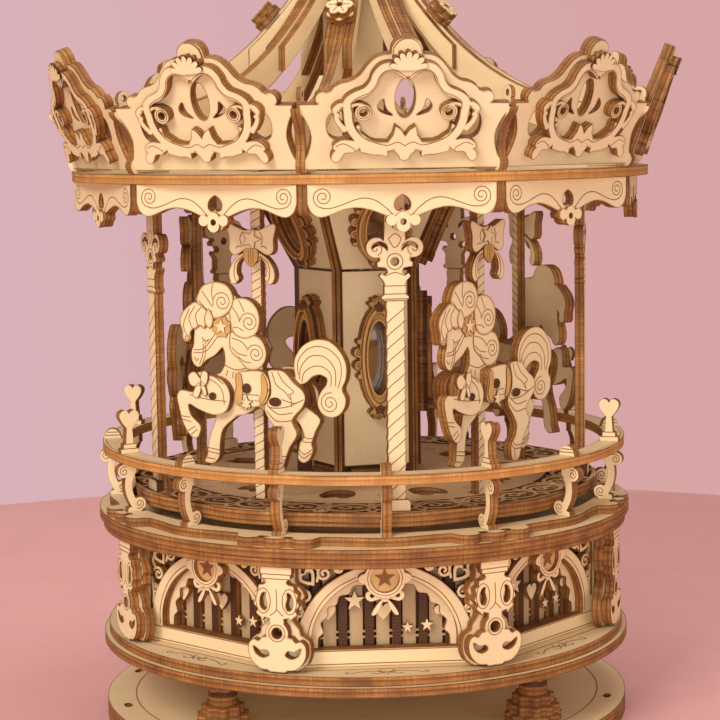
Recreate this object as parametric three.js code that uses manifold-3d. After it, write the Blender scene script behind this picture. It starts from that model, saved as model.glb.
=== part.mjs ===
// A laser-cut plywood carousel music-box kit: a fixed drum base on a plinth, and a carousel of five horses
// that turns on a vertical spindle. Millimetres, +Z up, origin at the centre of the plinth's underside.
import * as THREE from "three";
import { mergeVertices } from "three/addons/utils/BufferGeometryUtils.js";
import Module from "manifold-3d";

// ---- Driving dimensions ----
const PLY = 3; // thickness of one plywood sheet
const GAP = 0.3; // clearance where neighbouring boards meet
const BITE = 0.5; // how far a glued layer sinks into the one behind it
const SIDES = 8; // flat walls of the drum
const HORSES = 5; // horses, poles, columns and tower faces
const CROWNS = 10; // boards round the canopy

const PLINTH_R = 88;
const FOOT_H = 20;
const FOOT_R = 9;
const FOOT_RING_R = 70;
const FLOOR_R = 88.4;
const DRUM_H = 33; // height of the drum's arched walls
const DRUM_APOTHEM = 74; // centre line to a wall's outer face
const CURTAIN_SETBACK = 4; // from a wall's back to the slatted curtain
const TOP_R = 89;
const TRIM_R = 86;
const TRIM_IN_R = 79;
const RAIL_R = 87.4;
const RAIL_W = 7;
const RAIL_RISE = 16; // clear height between the trim ring and the rail
const POST_H = 17; // heart posts above the rail
const BRACKETS = 16;

const DECK_R = 79;
const DECK_RISE = 6; // clear height between the drum's top and the deck
const DECK_HUB_R = 26;
const TRACK_R = 58; // circle of the poles and of the cam track under them
const TRACK_W = 8;
const TRACK_LOW = 1.5;
const TRACK_WAVE = 4;
const TRACK_WAVES = 5;
const LIFT = 6; // travel of a horse

const COLUMN_INSET = 6; // the columns stand this far inside the deck's edge
const COLUMN_RING_R = DECK_R - COLUMN_INSET;
const COLUMN_W = 6.7;
const CANOPY_RISE = 99; // clear height between the deck and the canopy ring
const CANOPY_R = 95;
const CANOPY_IN_R = 50;
const HUB_R = 10;
const SPOKE_W = 12;
const VALANCE_H = 14;
const VALANCE_APOTHEM = 90.4;
const CROWN_LEAN = 19.4; // degrees outward from upright
const CROWN_FRIEZE = 19.5; // height of the plain board, along its slope
const CROWN_H = 38.9; // height of its lobed top, along its slope
const CARTOUCHE_W = 50.6;
const TOWER_R = 22; // corners of the five-sided shaft
const TOWER_TURN = 6.5; // degrees that its faces stand ahead of the columns
const FLARE_R = 38;
const FLARE_H = 30;
const TOWER_WALL = 3;
const RIB_DEPTH = 10;
const ROOF_H = 85; // canopy ring to the top collar
const FINIAL_H = 25;

const SPINDLE_R = 3;
const RUNNING = 0.3; // play round the turning spindle and the key's stem
const POLE_W = 4;
const HORSE_RISE = 3; // the horses' drawing starts this far over the deck
const HORSE_TILT = 9; // degrees that a horse's nose is turned outward
const HORSE_BACK = 5.2; // degrees that a pole stands behind the middle between two columns
const CAROUSEL_REST = 3.3; // degrees that the carousel rests ahead of the drum
const CASE = { x: 40, y: 34, z: 20 }; // music movement

// ---- Levels, from the ground up ----
const floorZ = 2 * PLY + FOOT_H;
const wallZ = floorZ + 2 * PLY;
const topZ = wallZ + DRUM_H;
const trimZ = topZ + 2 * PLY;
const railZ = trimZ + PLY + RAIL_RISE;
const deckZ = trimZ + DECK_RISE;
const towerZ = deckZ + PLY;
const canopyZ = towerZ + CANOPY_RISE;
const roofZ = canopyZ + PLY;
const wood = { pale: 0xeed9ac, edge: 0xc98a4b, dark: 0x9a6638 };

const { PI, sin, cos, sqrt, tan } = Math;
const rad = (degrees) => (degrees * PI) / 180;

// ---- Solid helpers ----
const wasm = await Module();
wasm.setup();

function toSolid(geometry) {
  const bare = geometry.clone();
  bare.deleteAttribute("normal");
  bare.deleteAttribute("uv");
  const merged = mergeVertices(bare, 1e-4);
  return new wasm.Manifold(
    new wasm.Mesh({
      numProp: 3,
      vertProperties: merged.attributes.position.array,
      triVerts: new Uint32Array(merged.index.array),
    }),
  );
}

function toGeometry(solid) {
  const mesh = solid.getMesh();
  const geometry = new THREE.BufferGeometry();
  geometry.setAttribute("position", new THREE.BufferAttribute(mesh.vertProperties, 3));
  geometry.setIndex(new THREE.BufferAttribute(mesh.triVerts, 1));
  geometry.computeVertexNormals();
  return geometry;
}

const join = (...pieces) => toGeometry(pieces.map(toSolid).reduce((a, b) => a.add(b)));
const cut = (body, ...tools) => toGeometry(tools.map(toSolid).reduce((a, b) => a.subtract(b), toSolid(body)));

// ---- Shape helpers ----
const plate = (shape, thickness, curveSegments = 6) =>
  new THREE.ExtrudeGeometry(shape, { depth: thickness, bevelEnabled: false, curveSegments });

// A plate standing up and facing the front (-Y): the shape's x runs right and its y up; its back is at y = 0.
const upright = (shape, thickness, curveSegments) => plate(shape, thickness, curveSegments).rotateX(PI / 2);

// A plate standing on edge in a plane through the axis: the shape's x is the radius and its y the height.
const radial = (shape, thickness, curveSegments) =>
  upright(shape, thickness, curveSegments).translate(0, thickness / 2, 0).rotateZ(-PI / 2);

const polygon = (points) => new THREE.Shape(points.map(([x, y]) => new THREE.Vector2(x, y)));

// An outline drawn for the right half from bottom to top, and mirrored to the left.
const mirrored = (half) => polygon([...half, ...half.toReversed().map(([x, y]) => [-x, y])]);

function ellipseHole(x, y, rx, ry, turn = 0) {
  return new THREE.Path().absellipse(x, y, rx, ry, 0, 2 * PI, false, turn);
}

function annulus(outer, inner, z, height, segments = 48) {
  const shape = new THREE.Shape().absarc(0, 0, outer, 0, 2 * PI, false);
  shape.holes.push(ellipseHole(0, 0, inner, inner));
  return plate(shape, height, segments).translate(0, 0, z);
}

// A closed profile of [radius, height] points, spun about the axis.
function turned(profile, segments = 24) {
  const closed = [...profile, profile[0]].map(([r, z]) => new THREE.Vector2(r, z));
  return new THREE.LatheGeometry(closed, segments).rotateX(PI / 2);
}

const prism = (sides, radius, height) =>
  new THREE.CylinderGeometry(radius, radius, height, sides).rotateX(PI / 2).translate(0, 0, height / 2);

const block = (x, y, z, sx, sy, sz) => new THREE.BoxGeometry(sx, sy, sz).translate(x, y, z);

function add(group, name, geometry, color = wood.pale, turn = 0) {
  const material = new THREE.MeshStandardMaterial({ color, roughness: 0.75, metalness: 0 });
  const mesh = new THREE.Mesh(geometry, material);
  mesh.name = name;
  mesh.rotation.z = rad(turn);
  group.add(mesh);
  return mesh;
}

const carouselKit = new THREE.Group();
const drum = new THREE.Group();
const carousel = new THREE.Group();
carousel.rotation.z = rad(CAROUSEL_REST);
carouselKit.add(drum, carousel);

// ---- Plinth, feet and drum floor ----
add(drum, "plinth_disc", prism(48, PLINTH_R, 2 * PLY));

function footProfile() {
  const neck = FOOT_R * 0.6;
  return [
    [0, 2 * PLY],
    [FOOT_R, 2 * PLY],
    [FOOT_R, 4 * PLY],
    [neck, 4 * PLY],
    [neck, floorZ - 3 * PLY],
    [FOOT_R, floorZ - 3 * PLY],
    [FOOT_R, floorZ - 2 * PLY],
    [neck, floorZ - 2 * PLY],
    [neck, floorZ],
    [0, floorZ],
  ];
}
for (let k = 0; k < 4; k++) {
  const geometry = turned(footProfile(), 12).translate(0, -FOOT_RING_R, 0);
  add(drum, `foot_${k + 1}`, geometry, wood.dark, 45 + 90 * k);
}

const keyStemR = 2;
add(
  drum,
  "drum_floor",
  turned(
    [
      [keyStemR + RUNNING, floorZ],
      [FLOOR_R, floorZ],
      [FLOOR_R, floorZ + PLY],
      [PLINTH_R, floorZ + PLY],
      [PLINTH_R, wallZ],
      [keyStemR + RUNNING, wallZ],
    ],
    48,
  ),
);

// ---- Drum walls: arched panels, corner pilasters and the slatted curtain behind ----
const wallBack = DRUM_APOTHEM - PLY;
const wallHalf = wallBack * tan(PI / SIDES) - GAP;
const archHalf = wallHalf - 8;
const archFoot = 3.5; // sill under the opening
const archTop = DRUM_H - 5.5;

function archShape() {
  const shape = mirrored([
    [wallHalf, 0],
    [wallHalf, DRUM_H],
  ]);
  const spring = archFoot + 6; // where the upright jambs turn into the arch
  const opening = new THREE.Path().moveTo(-archHalf, archFoot).lineTo(archHalf, archFoot).lineTo(archHalf, spring);
  opening.absellipse(0, spring, archHalf, archTop - spring, 0, PI, false);
  opening.lineTo(-archHalf, archFoot);
  shape.holes.push(opening);
  return shape;
}

function archPanel() {
  const medallion = upright(new THREE.Shape().absarc(0, archTop - 2, 6.5, 0, 2 * PI), PLY + BITE, 10);
  return join(upright(archShape(), PLY, 10), medallion.translate(0, BITE - PLY, 0)).translate(0, -wallBack, wallZ);
}

// A pilaster's outline: bulb base, ring, waist, shoulders and stepped capital.
function pilasterShape() {
  const top = DRUM_H;
  const shape = mirrored([
    [5, 0],
    [8.5, 2.5],
    [9, 6],
    [6, 10],
    [2.6, 12],
    [2.4, 15],
    [5, 18],
    [5.4, 23],
    [3.4, 26],
    [4.4, top - 4],
    [5.6, top - 3],
    [5.6, top],
  ]);
  shape.holes.push(ellipseHole(0, 9.5, 1.1, 1.1));
  return shape;
}
const cornerR = DRUM_APOTHEM / cos(PI / SIDES);
for (let k = 0; k < SIDES; k++) {
  const turn = (360 / SIDES) * k;
  add(drum, `arch_panel_${k + 1}`, archPanel(), wood.pale, turn);
  const pilaster = upright(pilasterShape(), 2 * PLY, 4).translate(0, -(cornerR + GAP), wallZ);
  add(drum, `pilaster_${k + 1}`, pilaster, wood.pale, turn + 180 / SIDES);
}

function curtainWall() {
  const outer = (wallBack - CURTAIN_SETBACK) / cos(PI / SIDES);
  const inner = outer - PLY;
  const turn = PI / SIDES;
  return cut(prism(SIDES, outer, DRUM_H), prism(SIDES, inner, DRUM_H + 2).translate(0, 0, -1))
    .rotateZ(turn)
    .translate(0, 0, wallZ);
}
add(drum, "curtain_wall", curtainWall(), wood.edge);

// ---- Drum top, trim ring, gallery rail and cam track ----
const topHoleR = 14;
add(
  drum,
  "drum_top",
  turned(
    [
      [topHoleR, topZ],
      [TOP_R - 1, topZ],
      [TOP_R - 1, topZ + PLY],
      [TOP_R, topZ + PLY],
      [TOP_R, trimZ],
      [TRIM_R, trimZ],
      [TRIM_R, trimZ + PLY],
      [TRIM_IN_R, trimZ + PLY],
      [TRIM_IN_R, trimZ],
      [topHoleR, trimZ],
    ],
    48,
  ),
);

// An S-shaped bracket in the plane of the radius, with a foot below and a head under the rail.
function bracketShape(withPost) {
  const rise = RAIL_RISE;
  const head = rise + PLY;
  const right = [
    [TRIM_R - 2, 0],
    [TRIM_R - 1.2, rise * 0.25],
    [TRIM_R + 0.6, rise * 0.5],
    [RAIL_R, rise * 0.75],
    [RAIL_R - 1, rise + BITE],
  ];
  const post = [
    [RAIL_R - 1.5, rise + BITE],
    [RAIL_R - 1.5, head + 2],
    [RAIL_R - 2.6, head + 3],
    [RAIL_R - 2.6, head + POST_H * 0.65],
    [RAIL_R - 1.6, head + POST_H * 0.85],
    [RAIL_R - 3.6, head + POST_H],
    [RAIL_R - 5.6, head + POST_H * 0.85],
    [RAIL_R - 4.6, head + POST_H * 0.65],
    [RAIL_R - 4.6, head + 3],
    [RAIL_R - 5.7, head + 2],
  ];
  const left = [
    [RAIL_R - 5.7, rise - 1],
    [TRIM_R - 3, rise * 0.6],
    [TRIM_R - 5, rise * 0.3],
    [TRIM_R - 5, 0],
  ];
  return polygon(withPost ? [...right, ...post, ...left] : [...right, [RAIL_R - 5.7, rise + BITE], ...left]);
}

function galleryRail() {
  const ring = annulus(RAIL_R, RAIL_R - RAIL_W, railZ, PLY);
  const brackets = [];
  for (let k = 0; k < BRACKETS; k++) {
    const bracket = radial(bracketShape(k % 2 === 1), PLY);
    brackets.push(bracket.translate(0, 0, trimZ + PLY).rotateZ((2 * PI * k) / BRACKETS));
  }
  return join(ring, ...brackets);
}
add(drum, "gallery_rail", galleryRail(), wood.edge);

// The cam track: a ring on the drum's top whose upper edge rises and falls under the poles.
function camTrack() {
  const ring = annulus(TRACK_R + TRACK_W / 2, TRACK_R - TRACK_W / 2, 0, 1, 8 * TRACK_WAVES);
  const point = ring.attributes.position;
  for (let i = 0; i < point.count; i++) {
    if (point.getZ(i) < 0.5) continue;
    const angle = Math.atan2(point.getY(i), point.getX(i));
    point.setZ(i, TRACK_LOW + (TRACK_WAVE * (1 - cos(TRACK_WAVES * angle))) / 2);
  }
  return ring.translate(0, 0, trimZ);
}
add(drum, "cam_track", camTrack(), wood.edge);

// ---- Music movement in the drum, with its winding key below ----
const spindleZ = wallZ + CASE.z - 5; // the spindle's foot, inside the movement's socket
function musicMovement() {
  const body = block(0, 0, wallZ + CASE.z / 2, CASE.x, CASE.y, CASE.z);
  const keySocket = prism(16, keyStemR + RUNNING, 7).translate(0, 0, wallZ - 1);
  const spindleSocket = prism(24, SPINDLE_R + RUNNING, 10).translate(0, 0, spindleZ - 1);
  return cut(body, keySocket, spindleSocket);
}
add(drum, "music_movement", musicMovement(), 0xc9a24a);

function windingKey() {
  const stem = prism(16, keyStemR, wallZ + 5 - 22).translate(0, 0, 22);
  const wing = upright(mirrored([[6, 10], [12, 13], [13, 18], [10, 22], [3, 20.5], [2.6, 23.4]]), PLY);
  return join(stem, wing.translate(0, PLY / 2, 0));
}
add(drum, "winding_key", windingKey(), wood.edge);

// ---- Carousel: spindle, deck, tower and canopy ring ----
const collarZ = roofZ + ROOF_H;
add(carousel, "spindle", prism(24, SPINDLE_R, collarZ - 8 - spindleZ).translate(0, 0, spindleZ), 0xb9b4a8);

const slotHalf = POLE_W / 2 + GAP;
const horseTurn = (k) => (360 / HORSES) * (k + 0.5) - HORSE_BACK;

// The deck: a lobed disc with openwork round the poles, a square slot for each pole and a hole for the spindle.
function deck() {
  const rim = [];
  const steps = 60;
  for (let i = 0; i < steps; i++) {
    const angle = (2 * PI * i) / steps;
    const r = DECK_R - 0.8 + 0.8 * cos(10 * angle);
    rim.push([r * sin(angle), -r * cos(angle)]);
  }
  const shape = polygon(rim);
  shape.holes.push(ellipseHole(0, 0, SPINDLE_R + GAP, SPINDLE_R + GAP));
  for (let k = 0; k < HORSES; k++) {
    const pole = rad(horseTurn(k));
    const turn = pole + rad(HORSE_TILT);
    const cx = TRACK_R * sin(pole);
    const cy = -TRACK_R * cos(pole);
    shape.holes.push(
      new THREE.Path([
        [-slotHalf, -slotHalf],
        [slotHalf, -slotHalf],
        [slotHalf, slotHalf],
        [-slotHalf, slotHalf],
      ].map(([x, y]) => new THREE.Vector2(cx + x * cos(turn) - y * sin(turn), cy + x * sin(turn) + y * cos(turn)))),
    );
    for (const offset of [-22, 22]) {
      const angle = pole + rad(offset);
      const mid = (DECK_HUB_R + DECK_R) / 2;
      shape.holes.push(ellipseHole(mid * sin(angle), -mid * cos(angle), 13, 5.5, angle - PI / 2));
    }
  }
  return plate(shape, PLY, 5).translate(0, 0, deckZ);
}
add(carousel, "deck", deck());

// The five-sided tower: an upright shaft that flares out under the canopy, hollow and open at both ends.
function frustum(lowR, highR, z, height) {
  const geometry = new THREE.CylinderGeometry(highR, lowR, height, HORSES);
  return geometry.rotateX(PI / 2).rotateZ(PI / HORSES).translate(0, 0, z + height / 2);
}
function tower() {
  const shaftH = CANOPY_RISE - FLARE_H;
  const shell = join(
    frustum(TOWER_R, TOWER_R, towerZ, shaftH + BITE),
    frustum(TOWER_R, FLARE_R, towerZ + shaftH, FLARE_H),
  );
  return cut(
    shell,
    frustum(TOWER_R - TOWER_WALL, TOWER_R - TOWER_WALL, towerZ - 1, shaftH + 2),
    frustum(TOWER_R - TOWER_WALL, FLARE_R - TOWER_WALL, towerZ + shaftH, FLARE_H + 0.2),
  );
}
add(carousel, "tower", tower(), wood.pale, TOWER_TURN);

function canopyRing() {
  const parts = [annulus(CANOPY_R, CANOPY_IN_R, canopyZ, PLY), annulus(HUB_R, SPINDLE_R + GAP, canopyZ, PLY, 20)];
  for (let k = 0; k < HORSES; k++) {
    const length = CANOPY_IN_R - HUB_R + 4;
    const spoke = block(0, -(HUB_R - 2 + length / 2), canopyZ + PLY / 2, SPOKE_W, length, PLY);
    parts.push(spoke.rotateZ(rad((360 / HORSES) * k)));
  }
  const slots = [];
  for (let k = 0; k < HORSES; k++) {
    const slot = block(0, 0, canopyZ + PLY / 2, 2 * slotHalf, 2 * slotHalf, 3 * PLY).rotateZ(rad(HORSE_TILT));
    slots.push(slot.translate(0, -TRACK_R, 0).rotateZ(rad(horseTurn(k))));
  }
  return cut(join(...parts), ...slots);
}
add(carousel, "canopy_ring", canopyRing(), wood.edge);

// ---- Columns ----
// A column's outline: foot, shaft, collar, block, neck, round medallion and scroll capital.
function columnShape() {
  const h = CANOPY_RISE;
  const half = COLUMN_W / 2;
  const shape = mirrored([
    [half + 0.9, 0],
    [half + 0.9, 3.6],
    [half, 4.4],
    [half, h - 35.4],
    [half + 0.8, h - 35],
    [half + 0.8, h - 34],
    [half, h - 33.5],
    [half, h - 30.6],
    [half + 1.4, h - 28.2],
    [2.2, h - 27],
    [2.6, h - 25.6],
    [half + 2, h - 25],
    [half + 1.8, h - 23.6],
    [half, h - 22.4],
    [half + 3.6, h - 22],
    [half + 5.3, h - 20],
    [half + 4.8, h - 17.6],
    [half + 2.4, h - 16.4],
    [half - 0.2, h - 16.8],
    [half - 0.2, h],
  ]);
  shape.holes.push(ellipseHole(0, h - 23.7, 1.3, 1.3));
  return shape;
}
for (let k = 0; k < HORSES; k++) {
  const geometry = upright(columnShape(), PLY, 4).translate(0, -(COLUMN_RING_R - PLY / 2), towerZ);
  add(carousel, `column_${k + 1}`, geometry, wood.pale, (360 / HORSES) * k);
}

// ---- Valance: ten scalloped boards hanging under the canopy ring ----
function valanceBoard() {
  const back = VALANCE_APOTHEM - PLY;
  const half = VALANCE_APOTHEM * tan(PI / CROWNS);
  const low = 4.5 - VALANCE_H; // lowest point of the side scallops
  const shape = mirrored([
    [1.5, -VALANCE_H],
    [4.3, low - 2.2],
    [4.9, low - 1.1],
    [4.4, low],
    [half * 0.3, low + 1.7],
    [half * 0.45, low + 2.5],
    [half * 0.6, low + 2],
    [half - 6, low + 0.3],
    [half - 3, low],
    [half - 1, low + 1.5],
    [half, low + 4],
    [half, 0],
  ]);
  shape.holes.push(ellipseHole(0, -5.8, 2.1, 2.3));
  return upright(shape, PLY, 5).translate(0, -back, canopyZ);
}
function valance() {
  const boards = [];
  for (let k = 0; k < CROWNS; k++) boards.push(valanceBoard().rotateZ((2 * PI * k) / CROWNS));
  return join(...boards);
}
add(carousel, "valance", valance());

// ---- Crown: ten boards leaning outward, each with a raised cartouche ----
const crownBack = VALANCE_APOTHEM - PLY; // centre line to a board's inner face at its foot
function crownBoard() {
  const halfAt = (up) => (crownBack + up * sin(rad(CROWN_LEAN))) * tan(PI / CROWNS) - GAP;
  const edge = CARTOUCHE_W / 2;
  const lobe = (x, part) => [x, CROWN_FRIEZE + part * (CROWN_H - CROWN_FRIEZE)];
  const lobes = [
    lobe(edge, 0),
    lobe(edge, 0.1),
    lobe(edge - 1.4, 0.18),
    lobe(edge - 3.1, 0.17),
    lobe(edge - 4.5, 0.25),
    lobe(edge - 6.7, 0.32),
    lobe(edge - 9.5, 0.36),
    lobe(edge - 12, 0.45),
    lobe(edge - 14, 0.58),
    lobe(edge - 16, 0.7),
    lobe(edge - 18.7, 0.76),
    lobe(edge - 20.9, 0.76),
    lobe(edge - 21.4, 0.88),
    lobe(edge - 23, 0.98),
    lobe(0, 1),
  ];
  const back = mirrored([[halfAt(0), 0], [halfAt(CROWN_FRIEZE), CROWN_FRIEZE], ...lobes.slice(0, -1)]);
  back.holes.push(ellipseHole(edge - 7, 13.2, 3.4, 4), ellipseHole(7 - edge, 13.2, 3.4, 4));
  const front = mirrored([
    [1.4, 3.5],
    [5, 4.8],
    [13, 6],
    [edge - 5.3, 3],
    [edge - 4.5, 8.4],
    [edge - 9, 11],
    [edge - 7.6, 15],
    [edge - 7.1, 20.6],
    [edge - 10, 24],
    [edge - 13, 25.4],
    [edge - 15.8, 31],
    [edge - 19.3, 32.8],
    [edge - 22.3, 32],
  ]);
  for (const shape of [back, front]) shape.holes.push(ellipseHole(0, 21.2, 3, 5.8));
  const board = upright(back, PLY, 5);
  const cartouche = upright(front, PLY + BITE, 5).translate(0, BITE - PLY, 0);
  const foot = GAP / 2; // lifts the leaning board's inner edge clear of the canopy ring
  return join(board, cartouche)
    .rotateX(rad(CROWN_LEAN))
    .translate(0, -crownBack, roofZ + foot + 2 * PLY * sin(rad(CROWN_LEAN)));
}
for (let k = 0; k < CROWNS; k++) add(carousel, `crown_panel_${k + 1}`, crownBoard(), wood.pale, (360 / CROWNS) * k);

// ---- Roof: ten curved ribs between the crown's joints and a collar, and the finial ----
const collarR = 12;
const ribFootR = crownBack / cos(PI / CROWNS) - 5;
function ribShape() {
  const endR = collarR - 2;
  const heightAt = (r) => {
    const reach = (ribFootR - r) / (ribFootR - endR); // 0 at the foot, 1 at the collar
    return CROWN_FRIEZE + (ROOF_H - CROWN_FRIEZE) * 0.42 * (reach ** 2 + reach ** 3);
  };
  const steps = 9;
  const outer = [];
  for (let i = 0; i <= steps; i++) {
    const r = ribFootR + ((endR - ribFootR) * i) / steps;
    outer.push([r, heightAt(r)]);
  }
  const inner = outer.toReversed().map(([r, z]) => [r, z - RIB_DEPTH - 8 * ((collarR + 14) / (r + 14)) ** 2]);
  return polygon([[ribFootR, 0], ...outer, ...inner.slice(0, -2), [ribFootR - RIB_DEPTH, 12], [ribFootR - RIB_DEPTH, 0]]);
}
function roofFrame() {
  const ribs = [];
  for (let k = 0; k < CROWNS; k++) ribs.push(radial(ribShape(), PLY, 4).rotateZ((2 * PI * (k + 0.5)) / CROWNS));
  const collar = annulus(collarR, SPINDLE_R + GAP, ROOF_H - 26, 26, 20);
  return join(collar, ...ribs).translate(0, 0, roofZ);
}
add(carousel, "roof_frame", roofFrame(), wood.edge);

function finial() {
  const z = collarZ;
  return turned(
    [
      [0, z],
      [14, z],
      [14, z + PLY],
      [6, z + PLY],
      [5, z + FINIAL_H * 0.4],
      [8, z + FINIAL_H * 0.6],
      [5, z + FINIAL_H * 0.85],
      [0, z + FINIAL_H],
    ],
    20,
  );
}
add(carousel, "finial", finial());

// ---- Horses and their poles ----
// Side view of a prancing horse facing left, x = 0 at the pole: the board with mane, legs and tail, and the
// thicker barrel that holds the pole.
const HORSE_OUTLINE = [
  [-4, 24.4], [-6.8, 22.4], [-10.9, 18.8], [-12.1, 14.4], [-12.5, 9.9], [-14.9, 7.6], [-17.8, 8.2], [-16.4, 14.2],
  [-14.3, 19], [-13.4, 23.8], [-18.3, 25.2], [-21.4, 26.6], [-21, 23.9], [-17.3, 19.8], [-18.2, 16.4], [-20.2, 16],
  [-23.4, 20.1], [-25.6, 29.2], [-23.9, 31], [-19.6, 30.6], [-18.6, 36.4], [-14, 36.1], [-11.4, 36.2], [-10, 39],
  [-10.2, 43.4], [-13.4, 41.9], [-16.6, 40.2], [-19.2, 38], [-21.7, 40.4], [-21, 45.6], [-22.9, 45.9], [-25.2, 50],
  [-24.4, 55.2], [-19.2, 58.4], [-18.2, 62], [-12.6, 65.1], [-8.6, 64.2], [-6.4, 60.6], [-2.6, 60.2], [0.8, 58.6],
  [2.8, 54.5], [1.9, 49.9], [4.5, 45], [4.8, 42.3], [3.5, 39.4], [4.3, 37.9], [9.1, 38.5], [12.4, 37.9],
  [15, 35.4], [14.2, 38], [14.5, 42.1], [17.2, 45.9], [21.4, 47.9], [26.2, 47.6], [30, 44.4], [31.9, 40.3],
  [31.7, 36.2], [30.4, 33], [31.6, 30.2], [31.1, 27.2], [28, 24.4], [24, 25], [21.9, 28.8], [23.2, 32],
  [25.3, 36], [22, 36.9], [18.6, 34.4], [19.3, 30], [22.7, 23.6], [20.4, 19.2], [19, 12.2], [16.6, 9.5],
  [14.8, 11.2], [15.8, 19], [14.6, 22.2], [13.9, 15.6], [11, 10.6], [9.8, 7.2], [7.6, 8], [10.2, 15.8],
  [10.7, 19], [8.6, 22], [6.6, 23], [6.2, 9], [6.6, 6.4], [2.9, 6.4], [3, 16], [2, 23.5], [0, 25],
];
const BARREL_OUTLINE = [
  [-4, 24.4], [1.6, 26.4], [8, 23.2], [15, 23.4], [18.2, 28], [17, 33.2], [12, 37], [4, 37.2], [-4, 36.6], [-12, 35.8],
  [-16.3, 33], [-14.6, 25.2], [-9, 23.4],
];
const poleTop = canopyZ + PLY + LIFT - 2;
const poleFoot = trimZ + TRACK_LOW + TRACK_WAVE + GAP;
const horseZ = towerZ + HORSE_RISE;
const POLE_PLAY = PLY / 2 + GAP; // from the pole's middle to the boards on either side of it

function horse() {
  const board = upright(polygon(HORSE_OUTLINE), PLY).translate(0, -POLE_PLAY, horseZ);
  const barrel = upright(polygon(BARREL_OUTLINE), 3 * PLY + 2 * POLE_PLAY).translate(0, POLE_PLAY + PLY, horseZ);
  const bore = block(0, 0, horseZ + 40, POLE_W + 2 * GAP, 2 * POLE_PLAY, 80);
  return cut(join(board, barrel), bore);
}
function pole() {
  const bow = upright(
    mirrored([[1.6, 71.4], [4.2, 66.2], [6.6, 64.5], [7.9, 68.4], [5.6, 73.4], [7.7, 75.2], [7.8, 79], [8.6, 82.2], [7.4, 83.2], [2.2, 81.2]]),
    PLY + BITE,
  ).translate(0, BITE - PLY / 2, horseZ);
  return join(block(0, 0, (poleFoot + poleTop) / 2, POLE_W, PLY, poleTop - poleFoot), bow);
}
for (let k = 0; k < HORSES; k++) {
  const mount = new THREE.Group();
  mount.rotation.z = rad(horseTurn(k));
  carousel.add(mount);
  const rider = new THREE.Group();
  rider.position.y = -TRACK_R;
  rider.rotation.z = rad(HORSE_TILT);
  mount.add(rider);
  add(rider, `horse_${k + 1}`, horse());
  add(rider, `pole_${k + 1}`, pole(), wood.edge);
}

export default carouselKit;
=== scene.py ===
# %% [markdown]
# A plywood carousel, cut by laser and pushed together by hand. Every visible piece of the real kit is a flat
# board: an outline with holes, 3 mm thick, pale on its faces and burnt brown on its cut edges. So this lesson
# needs one good tool, a "cut board" made from a drawing, and a few finishes that know face from edge.

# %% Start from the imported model
import math

import bmesh
import bpy
from mathutils import Matrix, Vector
from mathutils.geometry import delaunay_2d_cdt


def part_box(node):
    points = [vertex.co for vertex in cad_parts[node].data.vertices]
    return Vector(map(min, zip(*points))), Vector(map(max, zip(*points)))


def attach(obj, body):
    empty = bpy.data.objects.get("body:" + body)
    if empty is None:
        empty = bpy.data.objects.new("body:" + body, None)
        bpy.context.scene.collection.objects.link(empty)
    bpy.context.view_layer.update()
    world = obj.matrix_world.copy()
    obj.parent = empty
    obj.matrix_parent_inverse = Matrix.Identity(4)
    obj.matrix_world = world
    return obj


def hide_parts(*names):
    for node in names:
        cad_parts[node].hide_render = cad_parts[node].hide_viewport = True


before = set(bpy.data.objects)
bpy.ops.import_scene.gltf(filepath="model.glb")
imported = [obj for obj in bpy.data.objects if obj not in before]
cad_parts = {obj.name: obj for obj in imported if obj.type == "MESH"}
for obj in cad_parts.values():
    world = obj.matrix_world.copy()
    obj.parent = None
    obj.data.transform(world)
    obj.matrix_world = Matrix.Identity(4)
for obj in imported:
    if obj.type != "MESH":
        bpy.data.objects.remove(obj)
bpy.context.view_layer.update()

MM = 0.001
PLY = 3.0  # thickness of one board, in millimetres as every drawing below
HORSES = 5
CROWNS = 10
SIDES = 8


def low(node):
    """Height of a node's underside, in millimetres."""
    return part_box(node)[0].z / MM


def high(node):
    """Height of a node's top, in millimetres."""
    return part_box(node)[1].z / MM


column_low, column_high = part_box("column_1")
column_at = (column_low + column_high) / 2
REST = math.degrees(math.atan2(column_at.x, -column_at.y))  # the carousel's resting turn
print("carousel rests at", round(REST, 2), "degrees; the deck's top is at", round(high("deck"), 1), "mm")

# %% [markdown]
# The camera comes first, so that every later look is judged from the same place. A long lens stands two thirds
# of a metre away, a little above the canopy ring and a little to the left of the drum's front arch.

# %% Camera
CAMERA_TURN = -4.4
CAMERA_AWAY = 668
CAMERA_ABOVE = 11.8  # over the canopy ring
CAMERA_LEFT = 0.8  # of the point it would look at
CAMERA_DOWN = 6.52
CAMERA_ROLL = 0.75
turn, down, roll = (math.radians(a) for a in (CAMERA_TURN, CAMERA_DOWN, CAMERA_ROLL))
place = Vector((math.sin(turn), -math.cos(turn), 0)) * CAMERA_AWAY * MM
place.z = (high("canopy_ring") + CAMERA_ABOVE) * MM
ahead = Vector((-math.sin(turn), math.cos(turn), 0))
right = Vector((math.cos(turn), math.sin(turn), 0))
forward = ahead * math.cos(down) - Vector((0, 0, math.sin(down)))
upward = ahead * math.sin(down) + Vector((0, 0, math.cos(down)))
image_x = right * math.cos(roll) - upward * math.sin(roll)
image_y = right * math.sin(roll) + upward * math.cos(roll)
place -= right * CAMERA_LEFT * MM
camera = bpy.data.objects.new("camera", bpy.data.cameras.new("camera"))
bpy.context.scene.collection.objects.link(camera)
camera.data.lens = 99.8
camera.data.clip_start = 0.01
camera.matrix_world = Matrix.Translation(place) @ Matrix((image_x, image_y, -forward)).transposed().to_4x4()
bpy.context.scene.camera = camera

# %% [markdown]
# Drawings are lists of (x, y) points in millimetres. Round stretches are arcs, spirals or smooth curves through
# a few points, and a symmetric shape is drawn once and mirrored.


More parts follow.
